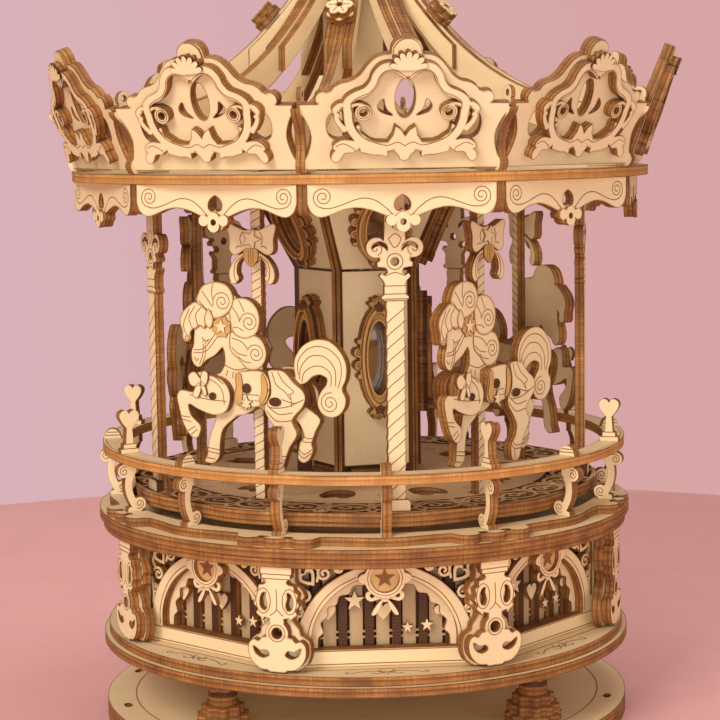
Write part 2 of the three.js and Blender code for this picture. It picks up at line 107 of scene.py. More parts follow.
# %% Drawing tools
def arc(cx, cy, r, start, end, steps=8, ry=None):
    angles = [math.radians(start + (end - start) * i / steps) for i in range(steps + 1)]
    return [(cx + r * math.cos(a), cy + (r if ry is None else ry) * math.sin(a)) for a in angles]


def circle(cx, cy, r, steps=20, ry=None):
    return arc(cx, cy, r, 0, 360, steps, ry)[:-1]


def smooth(points, steps=4, closed=False):
    """A Catmull-Rom curve through the points."""
    n = len(points)
    spans = n if closed else n - 1
    out = []
    for i in range(spans):
        p = [points[(i + k) % n] if closed else points[min(max(i + k, 0), n - 1)] for k in (-1, 0, 1, 2)]
        for s in range(steps):
            t = s / steps
            w = (-t + 2 * t**2 - t**3, 2 - 5 * t**2 + 3 * t**3, t + 4 * t**2 - 3 * t**3, t**3 - t**2)
            out.append(tuple(sum(w[k] * p[k][a] for k in range(4)) / 2 for a in (0, 1)))
    return out if closed else out + [points[-1]]


def blob(points, steps=4):
    return smooth(points, steps, closed=True)


def flip(points):
    """The same drawing on the left of the middle line."""
    return [(-x, y) for x, y in reversed(points)]


def both(half):
    """An outline from its right half, drawn from bottom to top."""
    return half + [p for p in flip(half) if abs(p[0]) > 1e-6 or p not in half]


def move(points, dx=0.0, dy=0.0, turned=0.0, scale=1.0):
    c, s = math.cos(math.radians(turned)) * scale, math.sin(math.radians(turned)) * scale
    return [(dx + c * x - s * y, dy + s * x + c * y) for x, y in points]


def spiral(cx, cy, r_out, r_in, start, turns, steps=10):
    """A scroll's centre line, from outside to inside; positive turns run anticlockwise."""
    n = max(4, int(abs(turns) * steps))
    out = []
    for i in range(n + 1):
        r = r_out + (r_in - r_out) * i / n
        a = math.radians(start + 360 * turns * i / n)
        out.append((cx + r * math.cos(a), cy + r * math.sin(a)))
    return out


def heart(cx, cy, w, turned=0.0):
    half = [(0, -0.62), (0.3, -0.28), (0.5, 0.05), (0.49, 0.3), (0.27, 0.45), (0.08, 0.38), (0, 0.26)]
    side = smooth(half, 3)
    return move(side + flip(side)[1:-1], cx, cy, turned, w)


def star(cx, cy, r, points=5, inner=0.42, turned=90.0):
    tips = [(r if k % 2 == 0 else r * inner, turned + 180 * k / points) for k in range(2 * points)]
    return [(cx + q * math.cos(math.radians(a)), cy + q * math.sin(math.radians(a))) for q, a in tips]


def line(path, wide, tip=None, caps=True):
    """A drawn line as polygons; it may taper from wide to tip."""
    tip = wide if tip is None else tip
    n = len(path)
    left, right_side = [], []
    for i, (x, y) in enumerate(path):
        ax, ay = path[max(i - 1, 0)]
        bx, by = path[min(i + 1, n - 1)]
        length = math.hypot(bx - ax, by - ay) or 1.0
        half = (wide + (tip - wide) * i / (n - 1)) / 2
        nx, ny = -(by - ay) / length * half, (bx - ax) / length * half
        left.append((x + nx, y + ny))
        right_side.append((x - nx, y - ny))
    quads = [[left[i], right_side[i], right_side[i + 1], left[i + 1]] for i in range(n - 1)]
    if caps:
        quads += [circle(*path[0], wide / 2, 8), circle(*path[-1], tip / 2, 8)]
    return quads


# %% [markdown]
# A laser follows the drawing, so a board is the drawing filled and given thickness. The outlines are laid over
# each other in one flat triangulation, and a triangle is kept where it lies in an outline and in no hole: so
# overlapping scrolls melt into one board, as they do in the sheet. The kept faces are extruded, and a narrow
# inset along each cut carries a "burn" value, which the face finish darkens like real scorching.

# %% Cutting a board
SCORCH = 0.55  # width of the browned margin along a cut


def sheet(outlines, holes=(), thick=PLY, scorch=SCORCH, faces=(0, 1)):
    """A board lying at z = 0 to thick. faces are its finishes: (face, edge)."""
    loops = [list(p) for p in outlines] + [list(p) for p in holes]
    points, polygons = [], []
    for loop in loops:
        area = sum(a[0] * b[1] - b[0] * a[1] for a, b in zip(loop, loop[1:] + loop[:1]))
        loop = loop if area > 0 else loop[::-1]
        polygons.append(list(range(len(points), len(points) + len(loop))))
        points += [Vector(p) for p in loop]
    flat, _, triangles, _, _, owners = delaunay_2d_cdt(points, [], polygons, 0, 1e-4, True)
    bm = bmesh.new()
    burn = bm.verts.layers.float.new("burn")
    grain = bm.loops.layers.uv.new("cut")
    verts = {}
    kept = []
    for triangle, owner in zip(triangles, owners):
        if owner and max(owner) < len(outlines):
            for i in triangle:
                if i not in verts:
                    verts[i] = bm.verts.new((flat[i][0], flat[i][1], 0))
            kept.append(bm.faces.new([verts[i] for i in triangle]))
    grown = bmesh.ops.extrude_face_region(bm, geom=kept)["geom"]
    top = [f for f in grown if isinstance(f, bmesh.types.BMFace)]
    bmesh.ops.translate(bm, verts=[v for v in grown if isinstance(v, bmesh.types.BMVert)], vec=(0, 0, thick))
    bmesh.ops.recalc_face_normals(bm, faces=bm.faces)
    for v in bm.verts:
        v[burn] = 1.0
    bottom = [f for f in bm.faces if abs(f.normal.z) > 0.5 and f.calc_center_median().z < thick / 2]
    if scorch:
        for side in (top, bottom):
            bmesh.ops.inset_region(bm, faces=side, thickness=scorch, use_even_offset=False, use_boundary=True)
            for f in side:
                for v in f.verts:
                    v[burn] = 0.0
    for f in bm.faces:
        on_face = abs(f.normal.z) > 0.5
        f.material_index = faces[0] if on_face else faces[1]
        f.smooth = False
        across = abs(f.normal.x) > abs(f.normal.y)
        for corner in f.loops:
            x, y, z = corner.vert.co
            corner[grain].uv = (x * MM, y * MM) if on_face else ((y if across else x) * MM, z * MM)
    return bm


def engrave(paths, wide=0.32, depth=0.12, proud=0.03, finish=2):
    """Burnt lines: thin strips sunk into the face, standing a hair proud of it."""
    strips = []
    for path in paths:
        strips += line(path, wide)
    bm = sheet(strips, thick=depth + proud, scorch=0, faces=(finish, finish))
    bmesh.ops.translate(bm, verts=bm.verts, vec=(0, 0, -depth))
    return bm


# %% [markdown]
# Boards stand up facing out, stand on edge along a radius, or lie flat. Each way is one matrix, so a board that
# repeats round the carousel is cut once and copied with another turn. The matrix goes into the mesh, and the
# object itself stays at the origin.


# %% Placing boards
def facing(angle, radius, z=0.0, lean=0.0, twist=0.0):
    """Board x to the right, y up, thickness outward; its back at that radius."""
    a, t, l = math.radians(angle), math.radians(angle + twist), math.radians(lean)
    side = Vector((math.cos(t), math.sin(t), 0))
    out = Vector((math.sin(t), -math.cos(t), 0))
    up = Vector((0, 0, math.cos(l))) + out * math.sin(l)
    normal = out * math.cos(l) - Vector((0, 0, math.sin(l)))
    at = Vector((radius * math.sin(a), -radius * math.cos(a), z))
    m = Matrix((side, up, normal)).transposed().to_4x4()
    m.translation = at
    return Matrix.Scale(MM, 4) @ m


def on_edge(angle, z=0.0, thick=PLY):
    """Board x along the radius, y up, centred on its thickness."""
    a = math.radians(angle)
    out, side = Vector((math.sin(a), -math.cos(a), 0)), Vector((-math.cos(a), -math.sin(a), 0))
    m = Matrix((out, Vector((0, 0, 1)), side)).transposed().to_4x4()
    m.translation = Vector((0, 0, z)) - side * thick / 2
    return Matrix.Scale(MM, 4) @ m


def lying(z, angle=0.0):
    return Matrix.Scale(MM, 4) @ Matrix.Translation((0, 0, z)) @ Matrix.Rotation(math.radians(angle), 4, "Z")


def stack(*layers):
    """Joins (board, height or matrix) pairs into one mesh, and frees the boards."""
    whole = bpy.data.meshes.new("stack")
    bm = bmesh.new()
    for board, lift in layers:
        part = bpy.data.meshes.new("part")
        board.to_mesh(part)
        board.free()
        part.transform(lift if isinstance(lift, Matrix) else Matrix.Translation((0, 0, lift)))
        bm.from_mesh(part)
        bpy.data.meshes.remove(part)
    bm.to_mesh(whole)
    bm.free()
    return whole


made = []


def piece(name, mesh, matrix, body, finishes, stands_for=(), copies=True):
    """A named piece on a CAD body, from a mesh in millimetres."""
    data = mesh.copy() if copies else mesh
    data.transform(matrix)
    data.name = name
    for finish in finishes:
        data.materials.append(finish)
    obj = bpy.data.objects.new(name, data)
    bpy.context.scene.collection.objects.link(obj)
    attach(obj, body)
    if stands_for:
        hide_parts(*stands_for)
    made.append(obj)
    return obj


# %% [markdown]
# Shader sums read best as Python sums. The class wraps a node's output, and each operator adds one Math node.


# %% Shader sums
class Socket:
    def __init__(self, tree, link):
        self.tree, self.link = tree, link

    def math(self, operation, *others):
        node = self.tree.nodes.new("ShaderNodeMath")
        node.operation = operation
        for slot_number, value in enumerate((self, *others)):
            if isinstance(value, Socket):
                self.tree.links.new(value.link, node.inputs[slot_number])
            else:
                node.inputs[slot_number].default_value = value
        return Socket(self.tree, node.outputs[0])

    def __add__(self, other):
        return self.math("ADD", other)

    def __sub__(self, other):
        return self.math("SUBTRACT", other)

    def __rsub__(self, other):
        return (self * -1) + other

    def __mul__(self, other):
        return self.math("MULTIPLY", other)

    def __pow__(self, other):
        return self.math("POWER", other)

    __radd__, __rmul__ = __add__, __mul__

    def clamp(self, lowest=0.0, highest=1.0):
        return self.math("MAXIMUM", lowest).math("MINIMUM", highest)


class Finish:
    """A material being built: node() adds a node, mix() blends colours."""

    def __init__(self, name):
        self.material = bpy.data.materials.new(name)
        self.material.use_nodes = True
        self.tree = self.material.node_tree
        self.shader = self.tree.nodes["Principled BSDF"]

    def node(self, kind, settings=(), output=0, **inputs):
        node = self.tree.nodes.new(kind)
        for key, value in dict(settings).items():
            setattr(node, key, value)
        for key, value in inputs.items():
            socket = node.inputs[int(key[1:])] if key[1:].isdigit() else node.inputs[key.replace("_", " ")]
            if isinstance(value, Socket):
                self.tree.links.new(value.link, socket)
            else:
                socket.default_value = value
        return Socket(self.tree, node.outputs[output])

    def mix(self, amount, first, second):
        paint = [(*c, 1) if isinstance(c, tuple) else c for c in (first, second)]
        settings = {"data_type": "RGBA", "clamp_factor": True}
        return self.node("ShaderNodeMix", settings, 2, i0=amount, i6=paint[0], i7=paint[1])

    def noise(self, where, scale, detail=3.0, rough=0.5):
        return self.node("ShaderNodeTexNoise", (), 0, Vector=where, Scale=scale, Detail=detail, Roughness=rough)

    def stretched(self, where, x, y, z=1.0):
        return self.node("ShaderNodeMapping", (), 0, Vector=where, Scale=(x, y, z))

    def set(self, **inputs):
        for key, value in inputs.items():
            socket = self.shader.inputs[key.replace("_", " ")]
            if isinstance(value, Socket):
                self.tree.links.new(value.link, socket)
            else:
                socket.default_value = value

    def bump(self, height, strength, distance):
        self.set(Normal=self.node("ShaderNodeBump", (), 0, Height=height, Strength=strength, Distance=distance))


# %% [markdown]
# Basswood plywood is cream with a faint, fine grain that runs one way. The drawing's own x and y are kept as a
# UV map, so the grain follows each board however it stands. The burn value from the cutting darkens the margin.


# %% Wood faces
def wood_face(name, pale, deep, margin=(0.1, 0.035, 0.012), glow=(0.6, 0.33, 0.12), upright_grain=False):
    f = Finish(name)
    uv = f.node("ShaderNodeUVMap", {"uv_map": "cut"})
    along, across = (420, 42) if upright_grain else (42, 420)
    fine = f.noise(f.stretched(uv, along, across), 6.0, 4.0, 0.6)
    broad = f.noise(f.stretched(uv, along / 12, across / 12), 5.0, 2.0)
    place = f.node("ShaderNodeTexCoord", (), 3)
    sheet_tone = f.noise(place, 9.0, 1.0)
    tone = (fine * 0.55 + broad * 0.5 + sheet_tone * 0.7 - 0.42).clamp()
    colour = f.mix(tone, pale, deep)
    burn = f.node("ShaderNodeAttribute", {"attribute_name": "burn"}, 2)
    smoke = f.noise(place, 260.0, 2.0)
    warmed = f.mix((burn * (smoke * 0.9 + 0.35)).clamp(), colour, glow)
    charred = (burn**3.6 * (smoke * 0.6 + 0.8)).clamp()
    f.set(Base_Color=f.mix(charred, warmed, margin), Roughness=(fine * 0.2 + 0.5))
    f.shader.inputs["Specular IOR Level"].default_value = 0.3
    f.bump(fine, 0.25, 0.00012)
    return f.material


# %% [markdown]
# The cut edge is where the laser burnt through: orange to umber, darker where the beam entered, with the plies
# as layers and the beam's pulses as fine upright streaks.


# %% Wood edges
def wood_edge(name, warm, dark, char=(0.055, 0.02, 0.008), layers=1.0):
    f = Finish(name)
    uv = f.node("ShaderNodeUVMap", {"uv_map": "cut"})
    parts = f.tree.nodes.new("ShaderNodeSeparateXYZ")
    f.tree.links.new(uv.link, parts.inputs[0])
    depth = Socket(f.tree, parts.outputs[1]) * (1 / (PLY * MM))  # 0 at the back of a board, 1 at its front
    place = f.node("ShaderNodeTexCoord", (), 3)
    streaks = f.noise(f.stretched(uv, 900, 60), 3.0, 3.0)
    patches = f.noise(place, 120.0, 3.0)
    sag = f.noise(place, 60.0, 1.0) * 0.12
    ply_line = ((depth + sag).math("MULTIPLY", 3 * math.pi)).math("SINE").math("ABSOLUTE")
    layer = ((1 - ply_line) ** 4.0) * layers
    colour = f.mix((patches * 1.5 - 0.3).clamp(), warm, dark)
    colour = f.mix((streaks * 1.9 - 0.72).clamp(), colour, dark)
    from_middle = (depth + sag - 0.56).math("ABSOLUTE")
    colour = f.mix(((1 - from_middle * 5.4) * 1.6).clamp() * 0.62, colour, dark)
    rim = ((from_middle * 2.0).clamp() ** 7.0) * 0.9
    colour = f.mix(((layer * 0.45) + rim).clamp(), colour, char)
    f.set(Base_Color=colour, Roughness=0.62)
    f.shader.inputs["Specular IOR Level"].default_value = 0.3
    f.bump(streaks + layer, 0.35, 0.0002)
    return f.material


def plain_burn(name, light, dark):
    """An engraved line or a burnt patch."""
    f = Finish(name)
    spot = f.noise(f.node("ShaderNodeTexCoord", (), 3), 400.0, 2.0)
    f.set(Base_Color=f.mix(spot, light, dark), Roughness=0.8)
    return f.material


CREAM, TAN = (0.86, 0.71, 0.45), (0.71, 0.51, 0.26)
pale = wood_face("basswood_face", CREAM, TAN)
upright_pale = wood_face("basswood_face_upright", CREAM, TAN, upright_grain=True)
# The curtain's face is a darker, greyer copy of the basswood: painted shade, since the curtain stands back inside
# the drum.
shade = wood_face("curtain_face_painted_shade", (0.58, 0.42, 0.24), (0.4, 0.25, 0.12), upright_grain=True)
edge = wood_edge("laser_cut_edge", (0.62, 0.29, 0.07), (0.12, 0.037, 0.012))
# A lighter, more golden copy of the cut edge for the canopy rim and the rail: painted light on rims that face the
# lamps.
lit_rim_edge = wood_edge("rim_edge_painted_light", (0.8, 0.43, 0.12), (0.38, 0.15, 0.036), char=(0.1, 0.032, 0.01))
ink = plain_burn("engraved_line", (0.33, 0.14, 0.04), (0.17, 0.06, 0.018))
char = plain_burn("burnt_patch", (0.16, 0.06, 0.02), (0.09, 0.03, 0.01))
amber = wood_face("carved_amber", (0.68, 0.41, 0.14), (0.42, 0.2, 0.06), (0.07, 0.024, 0.008),
    (0.4, 0.17, 0.04))
BOARD = (pale, edge, ink)
print("finishes", len(bpy.data.materials))

# %% [markdown]
# The horse is the richest sheet in the box: a core board with neck, far legs and tail, on its far side a layer
# with barrel and haunch, and on its near side a layer with mane, shoulder, saddle and haunch. The thin lines are
# engraved on the outer boards only.

# %% Horses
DECK = high("deck")
HORSE_ZERO = DECK + 3.0  # where the horses' drawing starts
HORSE_TILT = 9.0  # nose turned outward
HORSE_BACK = 5.2  # a pole stands this far behind the middle between two columns
TRACK_R = 58.0
POLE_OPENING = 5.0  # side of the square that a board leaves round a pole


def horse_turn(k):
    return REST + 72 * (k + 0.5) - HORSE_BACK


def about_axis(points, r, angle):
    """A small drawing, x tangential and y outward, moved out along a radius."""
    return move([(x, -(r + y)) for x, y in points], 0, 0, angle)


def pole_squares(half):
    """A square round each horse's pole, in a board that lies round the spindle."""
    square = move([(-half, -half), (half, -half), (half, half), (-half, half)], 0, 0, HORSE_TILT)
    return [about_axis(square, TRACK_R, horse_turn(k) - REST) for k in range(HORSES)]


MANE_1 = [(-19.2, 58.3), (-18.6, 61.6), (-16.6, 64), (-12.6, 65.1), (-8.6, 64.2), (-6.4, 61.2), (-6.5, 58),
    (-8.4, 55.2), (-11.9, 53.6), (-15.4, 54)]
MANE_2 = [(-8, 58.4), (-5.6, 60), (-2.6, 60.2), (0.4, 58.9), (2.4, 56), (2.8, 53), (1.9, 49.9), (-0.2, 48.1),
    (-3.6, 47.6), (-7, 50)]
MANE_3 = [(-7.6, 49.5), (-4.4, 48.6), (-1, 49), (2.7, 47.8), (4.5, 45), (4.8, 42.3), (3.5, 39.4), (1.2, 37.8),
    (-2, 38), (-5, 41), (-8, 44)]
FORELOCK = [(-14.6, 55), (-19.2, 58.6), (-22, 57.4), (-24.6, 54.9), (-25.4, 52.2), (-24.6, 49.6), (-24.4, 46.9),
    (-22.9, 45.9), (-21.4, 47), (-21.6, 48.8), (-20.6, 50), (-19.6, 50.2), (-18.2, 51.2), (-16.6, 50.2),
    (-15.8, 52)]
HEAD = [(-12, 56), (-16, 57.4), (-19.6, 55), (-20.6, 49), (-20.9, 45.3), (-21.7, 43), (-21.7, 40.4),
    (-20.7, 38.6), (-19.2, 38), (-17.8, 38.8), (-16.6, 40.2), (-13.4, 41.9), (-10.9, 44.3), (-8, 47)]
NECK = [(-10.9, 45), (-10, 42.8), (-10, 39), (-11.4, 35.6), (-4, 34), (3, 36), (2, 46), (-2, 57), (-9, 62),
    (-13, 56), (-12, 48)]
BARREL = [(-16.5, 33), (-12, 36.4), (-4, 37.2), (5, 37.6), (12, 37.6), (17, 33.4), (18.4, 28), (15, 23),
    (8, 22.8), (1.6, 26.2), (-0.6, 24.8), (-4, 23.4), (-9, 22.8), (-14.6, 25)]
SHOULDER = [(-18.6, 36.4), (-16.2, 37), (-14, 36.1), (-9.6, 34.8), (-7.2, 32), (-6.7, 28.7), (-8.1, 25),
    (-11.1, 23.6), (-14.2, 23.8), (-18.3, 25.2), (-21.4, 26.6), (-21, 23.9), (-19.9, 22.3), (-17.3, 19.8),
    (-18.2, 16.4), (-20.2, 16), (-22, 17.6), (-23.4, 20.1), (-24.3, 22.5), (-25.3, 26.6), (-25.6, 29.2),
    (-23.9, 31), (-19.6, 30.6), (-19.4, 33.4)]
FRONT_LEG = [(-4, 24.4), (-6.8, 22.4), (-10.9, 18.8), (-12.1, 14.4), (-12.5, 9.9), (-14.9, 7.6), (-17.8, 8.2),
    (-16.8, 10.3), (-16.4, 14.2), (-15.3, 17.6), (-13.8, 21), (-12.4, 26), (-6, 29)]
REAR_FAR = [(13, 27), (17, 27.4), (19, 26.4), (22.9, 23.4), (21.1, 19.4), (19.8, 15.5), (20.3, 13.9),
    (19, 10.7), (16.8, 9.5), (15, 10.9), (15.3, 13.9), (15.9, 16.2), (17.2, 17.8), (15.9, 21.4), (13.6, 23.6)]
SADDLE = [(-4.6, 36.8), (-0.1, 37.9), (4.3, 37.9), (6.6, 35.9), (7.2, 32.9), (6.5, 29.6), (4.6, 27.4),
    (0, 26.4), (-4.3, 27), (-5.3, 29.3), (-4.6, 33)]
HAUNCH = [(6.6, 37.9), (9.1, 38.5), (12.4, 37.9), (15.4, 34.8), (18.4, 32.5), (19.3, 30), (18.2, 27.2),
    (15.7, 24.6), (14.7, 22.6), (16.3, 18.8), (13.8, 14.7), (12.2, 10.7), (10.8, 7.2), (7.8, 7.1), (6.8, 9.6),
    (7.2, 12.8), (9, 14.7), (9.7, 18.4), (7.4, 22.2), (5.7, 24.6), (5.3, 27.2), (7.4, 30.6), (7.4, 34.4)]
TAIL = [(15.4, 34.2), (14.2, 38), (14.5, 42.1), (17.2, 45.9), (21.4, 47.9), (26.2, 47.6), (30, 44.4),
    (31.9, 40.3), (31.7, 36.2), (30.4, 33), (31.6, 30.2), (31.1, 27.2), (29, 24.8), (26, 24.1), (23, 25.6),
    (21.9, 28.8), (23.2, 32), (24.9, 34), (25.3, 36), (23, 37.1), (20.4, 36.4), (18, 34.4)]
TAIL_LINES = [
    spiral(26.2, 28.5, 3.4, 0.5, 80, 2), smooth([(16, 35.6), (16.6, 39.4), (20, 42.8), (24.8, 42.6), (28, 39),
        (28.2, 34)]),
    smooth([(15.6, 37), (15.6, 41.2), (19.4, 45.2), (24.8, 45.6), (29.4, 42.2), (30.2, 37.6),
        (29, 33.4)]), smooth([(16.8, 34.8), (17.6, 37.6), (20.6, 39.6), (24, 39.6), (26.6, 37.4),
        (26.6, 33.8)]),
]
CURLS = [  # outline, then its engraved strands; each lies a little over the one before
    (MANE_3, [spiral(1.1, 42.9, 3.1, 0.5, 160, -1.9), smooth([(-7.2, 47.6), (-4, 46.6), (-1.8, 44.6)]),
        smooth([(-7.2, 44.6), (-5, 42.8), (-2, 42.2)]), smooth([(-5, 41.8), (-3, 40.4), (-0.8, 40)])]),
    (MANE_2, [spiral(-1.0, 52.6, 3.3, 0.5, 170, -1.9), smooth([(-7, 57.6), (-5, 55), (-4.2, 52.8)]),
        smooth([(-4.4, 59.4), (-3.4, 57.6), (-2.6, 55.8)]), smooth([(-6.4, 51), (-4.6, 50.8), (-3, 49.9)])]),
    (MANE_1, [spiral(-10.2, 58.8, 3.4, 0.5, 200, -2), smooth([(-18.4, 59), (-16, 56.6), (-13.8, 55.6)]),
        smooth([(-17.2, 62), (-14.8, 58.8), (-13.7, 57.2)]),
        smooth([(-13.4, 64.4), (-13.8, 61.4), (-13.3, 59.4)])]),
    (FORELOCK, [smooth([(-22.8, 47.8), (-24, 51.4), (-21.8, 56.4)]),
        smooth([(-20.8, 50.2), (-22, 53.6), (-19.8, 57.2)]), smooth([(-18.8, 51), (-19.6, 54.4), (-17.6, 57)]),
        spiral(-22.9, 47.3, 1.0, 0.3, 60, -1.2)]),
]
EAR = [(-15.6, 50.8), (-16.6, 53.4), (-15, 56.6), (-13.2, 53.6), (-14, 50.8)]
HEAD_LINES = [
    smooth([(-20.6, 43.4), (-17, 44.2), (-12.8, 49)]), smooth([(-20.8, 42.6), (-16.4, 43.2),
        (-12, 48.2)]), smooth([(-18.9, 39), (-17.7, 42), (-17.4, 45.2)]), smooth([(-18.2, 38.6), (-16.9, 41.6),
        (-16.6, 45)]),
    smooth([(-17.8, 47.4), (-16.6, 46.4), (-15, 47)]), [(-17.3, 46.8), (-17.6, 45.9)], [(-16.6, 46.4),
        (-16.8, 45.4)], [(-15.8, 46.5), (-15.7, 45.6)],
    smooth([(-20.8, 41.2), (-20, 40), (-19.3, 40.8)]),
    smooth([(-10, 39), (-6, 37.6), (-2, 38.4)]), [(-9, 37.4), (-9.4, 35.6)], [(-7, 37),
        (-7.2, 35.2)], [(-4.6, 36.8), (-4.6, 35)],
]
PLATE_LINES = [
    smooth([(-19.4, 33.6), (-13.6, 34.6), (-9.6, 31.6), (-8.8, 27)]), smooth([(-21, 29.6), (-15, 28.4),
        (-8, 28)]), smooth([(-12.6, 36), (-9, 33.4)]),
    [(-24.6, 22.8), (-21.2, 22.4)], [(-24.2, 21.8), (-20.8, 21)], [(-20.8, 17), (-18.6, 18.6)], [(-21.8, 18.2),
        (-19.4, 19.6)],
    [(-3, 30.4), (3.4, 30.4), (3.4, 28.6), (2, 28.6)], [(-3, 30.4), (-3, 28.6), (-1.8, 28.6)],
    smooth([(8, 37.8), (9.4, 34), (12.4, 31.8), (14.2, 29.6)]), smooth([(10, 38), (12, 34.8), (15.4, 32),
        (13.6, 31)]), smooth([(6.4, 27.2), (10, 24.8), (14.8, 25.4)]),
    smooth([(6.2, 29), (7, 26.8), (12.4, 27), (17.4, 29)]), smooth([(11.4, 29.4), (15.4, 28.4),
        (18.6, 29.6)]), smooth([(14.4, 30.8), (14.6, 27.4)]), smooth([(6, 31), (7.4, 33)]),
    smooth([(7, 12.6), (8.6, 10.8), (12, 10.6)]), smooth([(7.6, 13.6), (9.2, 11.8), (12.4, 11.8)]), [(8.6,
        10.8), (9, 7.4)], smooth([(6, 25.6), (9.4, 22.6), (14.4, 23)]),
]
CORE_LINES = [[(-16.6, 12.6), (-12.4, 12)], [(-16.6, 11.4), (-12.6, 10.8)], [(-16.8, 9.4), (-14, 9)],
    smooth([(15.1, 12.6), (17, 11), (19.6, 12.8)]), smooth([(15.3, 13.9), (17.2, 12.2), (20, 14)]),
    smooth([(17.2, 17.8), (18.4, 17.2), (20.4, 17.4)]), smooth([(16.6, 16.4), (18.2, 16), (20, 16.2)])]
POLE_PLAY = PLY / 2 + 0.3  # the horse's boards start this far from the pole's middle


def ringed(loop):
    return loop + [loop[0]]


def horse_mesh():
    core = sheet([blob(p, 3) for p in (MANE_1, MANE_2, MANE_3, FORELOCK, NECK, HEAD, BARREL, FRONT_LEG,
        REAR_FAR, TAIL)])
    slot = [(-2.3, 20), (2.3, 20), (2.3, 40), (-2.3, 40)]
    filler = sheet([blob(BARREL, 3)], [slot], thick=2 * POLE_PLAY, scorch=0)
    far = sheet([blob(BARREL, 3), blob([p for p in HAUNCH if p[1] > 24], 3)])
    front = POLE_PLAY + PLY
    top = front + PLY
    layers = [(core, POLE_PLAY), (filler, -POLE_PLAY), (far, -POLE_PLAY - PLY)]
    layers += [(sheet([blob(p, 3)]), front) for p in (SHOULDER, SADDLE, HAUNCH)]
    layers.append((engrave(TAIL_LINES + HEAD_LINES + CORE_LINES, 0.3), front))
    for i, (outline, strands) in enumerate(CURLS + [(EAR, [])]):
        layers.append((sheet([blob(outline, 3)], thick=0.2 + 0.16 * i, scorch=0.9), front))
        layers.append((engrave(strands, 0.3), front + 0.2 + 0.16 * i))
    layers.append((engrave(PLATE_LINES, 0.3), top))
    girth = [blob([(-4.4, 36.2), (-2.6, 36.8), (-2, 32), (-2.6, 27.4), (-4.2, 27.6), (-4.9, 30), (-4.2, 33)],
        3), blob([(4.4, 37.2), (6, 35.6), (6.6, 32.8), (6, 29.8), (4.6, 28), (3.6, 27.8), (4.4, 32)], 3)]
    layers.append((sheet(girth, thick=0.35, scorch=0.3, faces=(4, 3)), top))
    pegs = [circle(x, y, rx, 12, ry) for x, y, rx, ry in ((-12.7, 29.5, 1.3, 1.2), (-0.7, 32.4, 1.6, 1.6),
        (9.1, 28.6, 2.1, 1.4))]
    layers.append((sheet(pegs, thick=0.5, scorch=0, faces=(1, 1)), top))
    ribbon = sheet([star(-0.6, 28, 2.2), star(-0.6, 27.4, 1.7, 5, 0.5, 54)], thick=0.8, scorch=0.2,
        faces=(0, 3))
    layers.append((ribbon, top))
    bow = [blob(wing, 3) for wing in (
        [(-16.2, 34), (-18.6, 37), (-20.8, 35.6), (-20, 32.8), (-17.6, 32.6)],
        [(-16.6, 34), (-15.8, 37.2), (-14, 36.8), (-14.2, 34), (-15.6, 32.6)],
        [(-17.4, 33.6), (-19.4, 29.8), (-17.6, 29), (-16.4, 32)],
        [(-16.6, 33.4), (-15.4, 29.6), (-14.4, 30.4), (-15.4, 33.4)])]
    layers.append((sheet(bow, thick=1.0, scorch=0.25, faces=(0, 3)), top))
    layers.append((engrave([ringed(b) for b in bow], 0.22), top + 1.0))
    patch = sheet([star(-10.6, 51, 3.6, 8, 0.82, 22)], thick=0.5, scorch=0.3, faces=(4, 3))
    layers.append((patch, front))
    layers.append((sheet([star(-10.6, 51, 2.5)], thick=0.9, scorch=0.12, faces=(0, 3)), front))
    return stack(*layers)


def scalloped(half, low_y, high_y, pitch, depth=0.35):
    """A twisted pole's outline: its two sides bulge once every pitch, half a pitch apart."""
    rows = max(2, round((high_y - low_y) / pitch))
    step = (high_y - low_y) / rows
    right_side = []
    for i in range(rows):
        for t in (0.12, 0.5, 0.88):
            right_side.append((half - depth * (2 * t - 1) ** 2, low_y + step * (i + t)))
    left_side = [(-x, y) for x, y in right_side]
    return right_side + left_side[::-1]


def twist_lines(half, low_y, high_y, pitch, rise):
    rows = round((high_y - low_y) / pitch)
    step = (high_y - low_y) / rows
    bend = [(-half, 0), (-half * 0.45, rise * 0.3), (half * 0.45, rise * 0.7), (half, rise)]
    starts = [low_y + step * i for i in range(rows)]
    return [smooth([(x, y + up) for x, up in bend], 2) for y in starts if y + rise < high_y]


POLE_LOW, POLE_HIGH = low("pole_1") - HORSE_ZERO, high("pole_1") - HORSE_ZERO
BOW_WING = [(0, 81.5), (2.5, 81.2), (5, 82.2), (7.6, 83.2), (8.6, 82), (7.7, 78.5), (7.7, 75), (6.3, 73.5),
    (4.6, 73.7), (2.2, 75), (0, 75)]
BOW_TAIL = [(1.4, 75), (4.5, 73.3), (6.6, 71.2), (7.9, 68.5), (7.8, 66), (6.6, 64.4), (5.3, 64.9), (4.4, 66.3),
    (5.1, 68), (4.8, 70.5), (3.2, 72.5), (0.8, 73)]


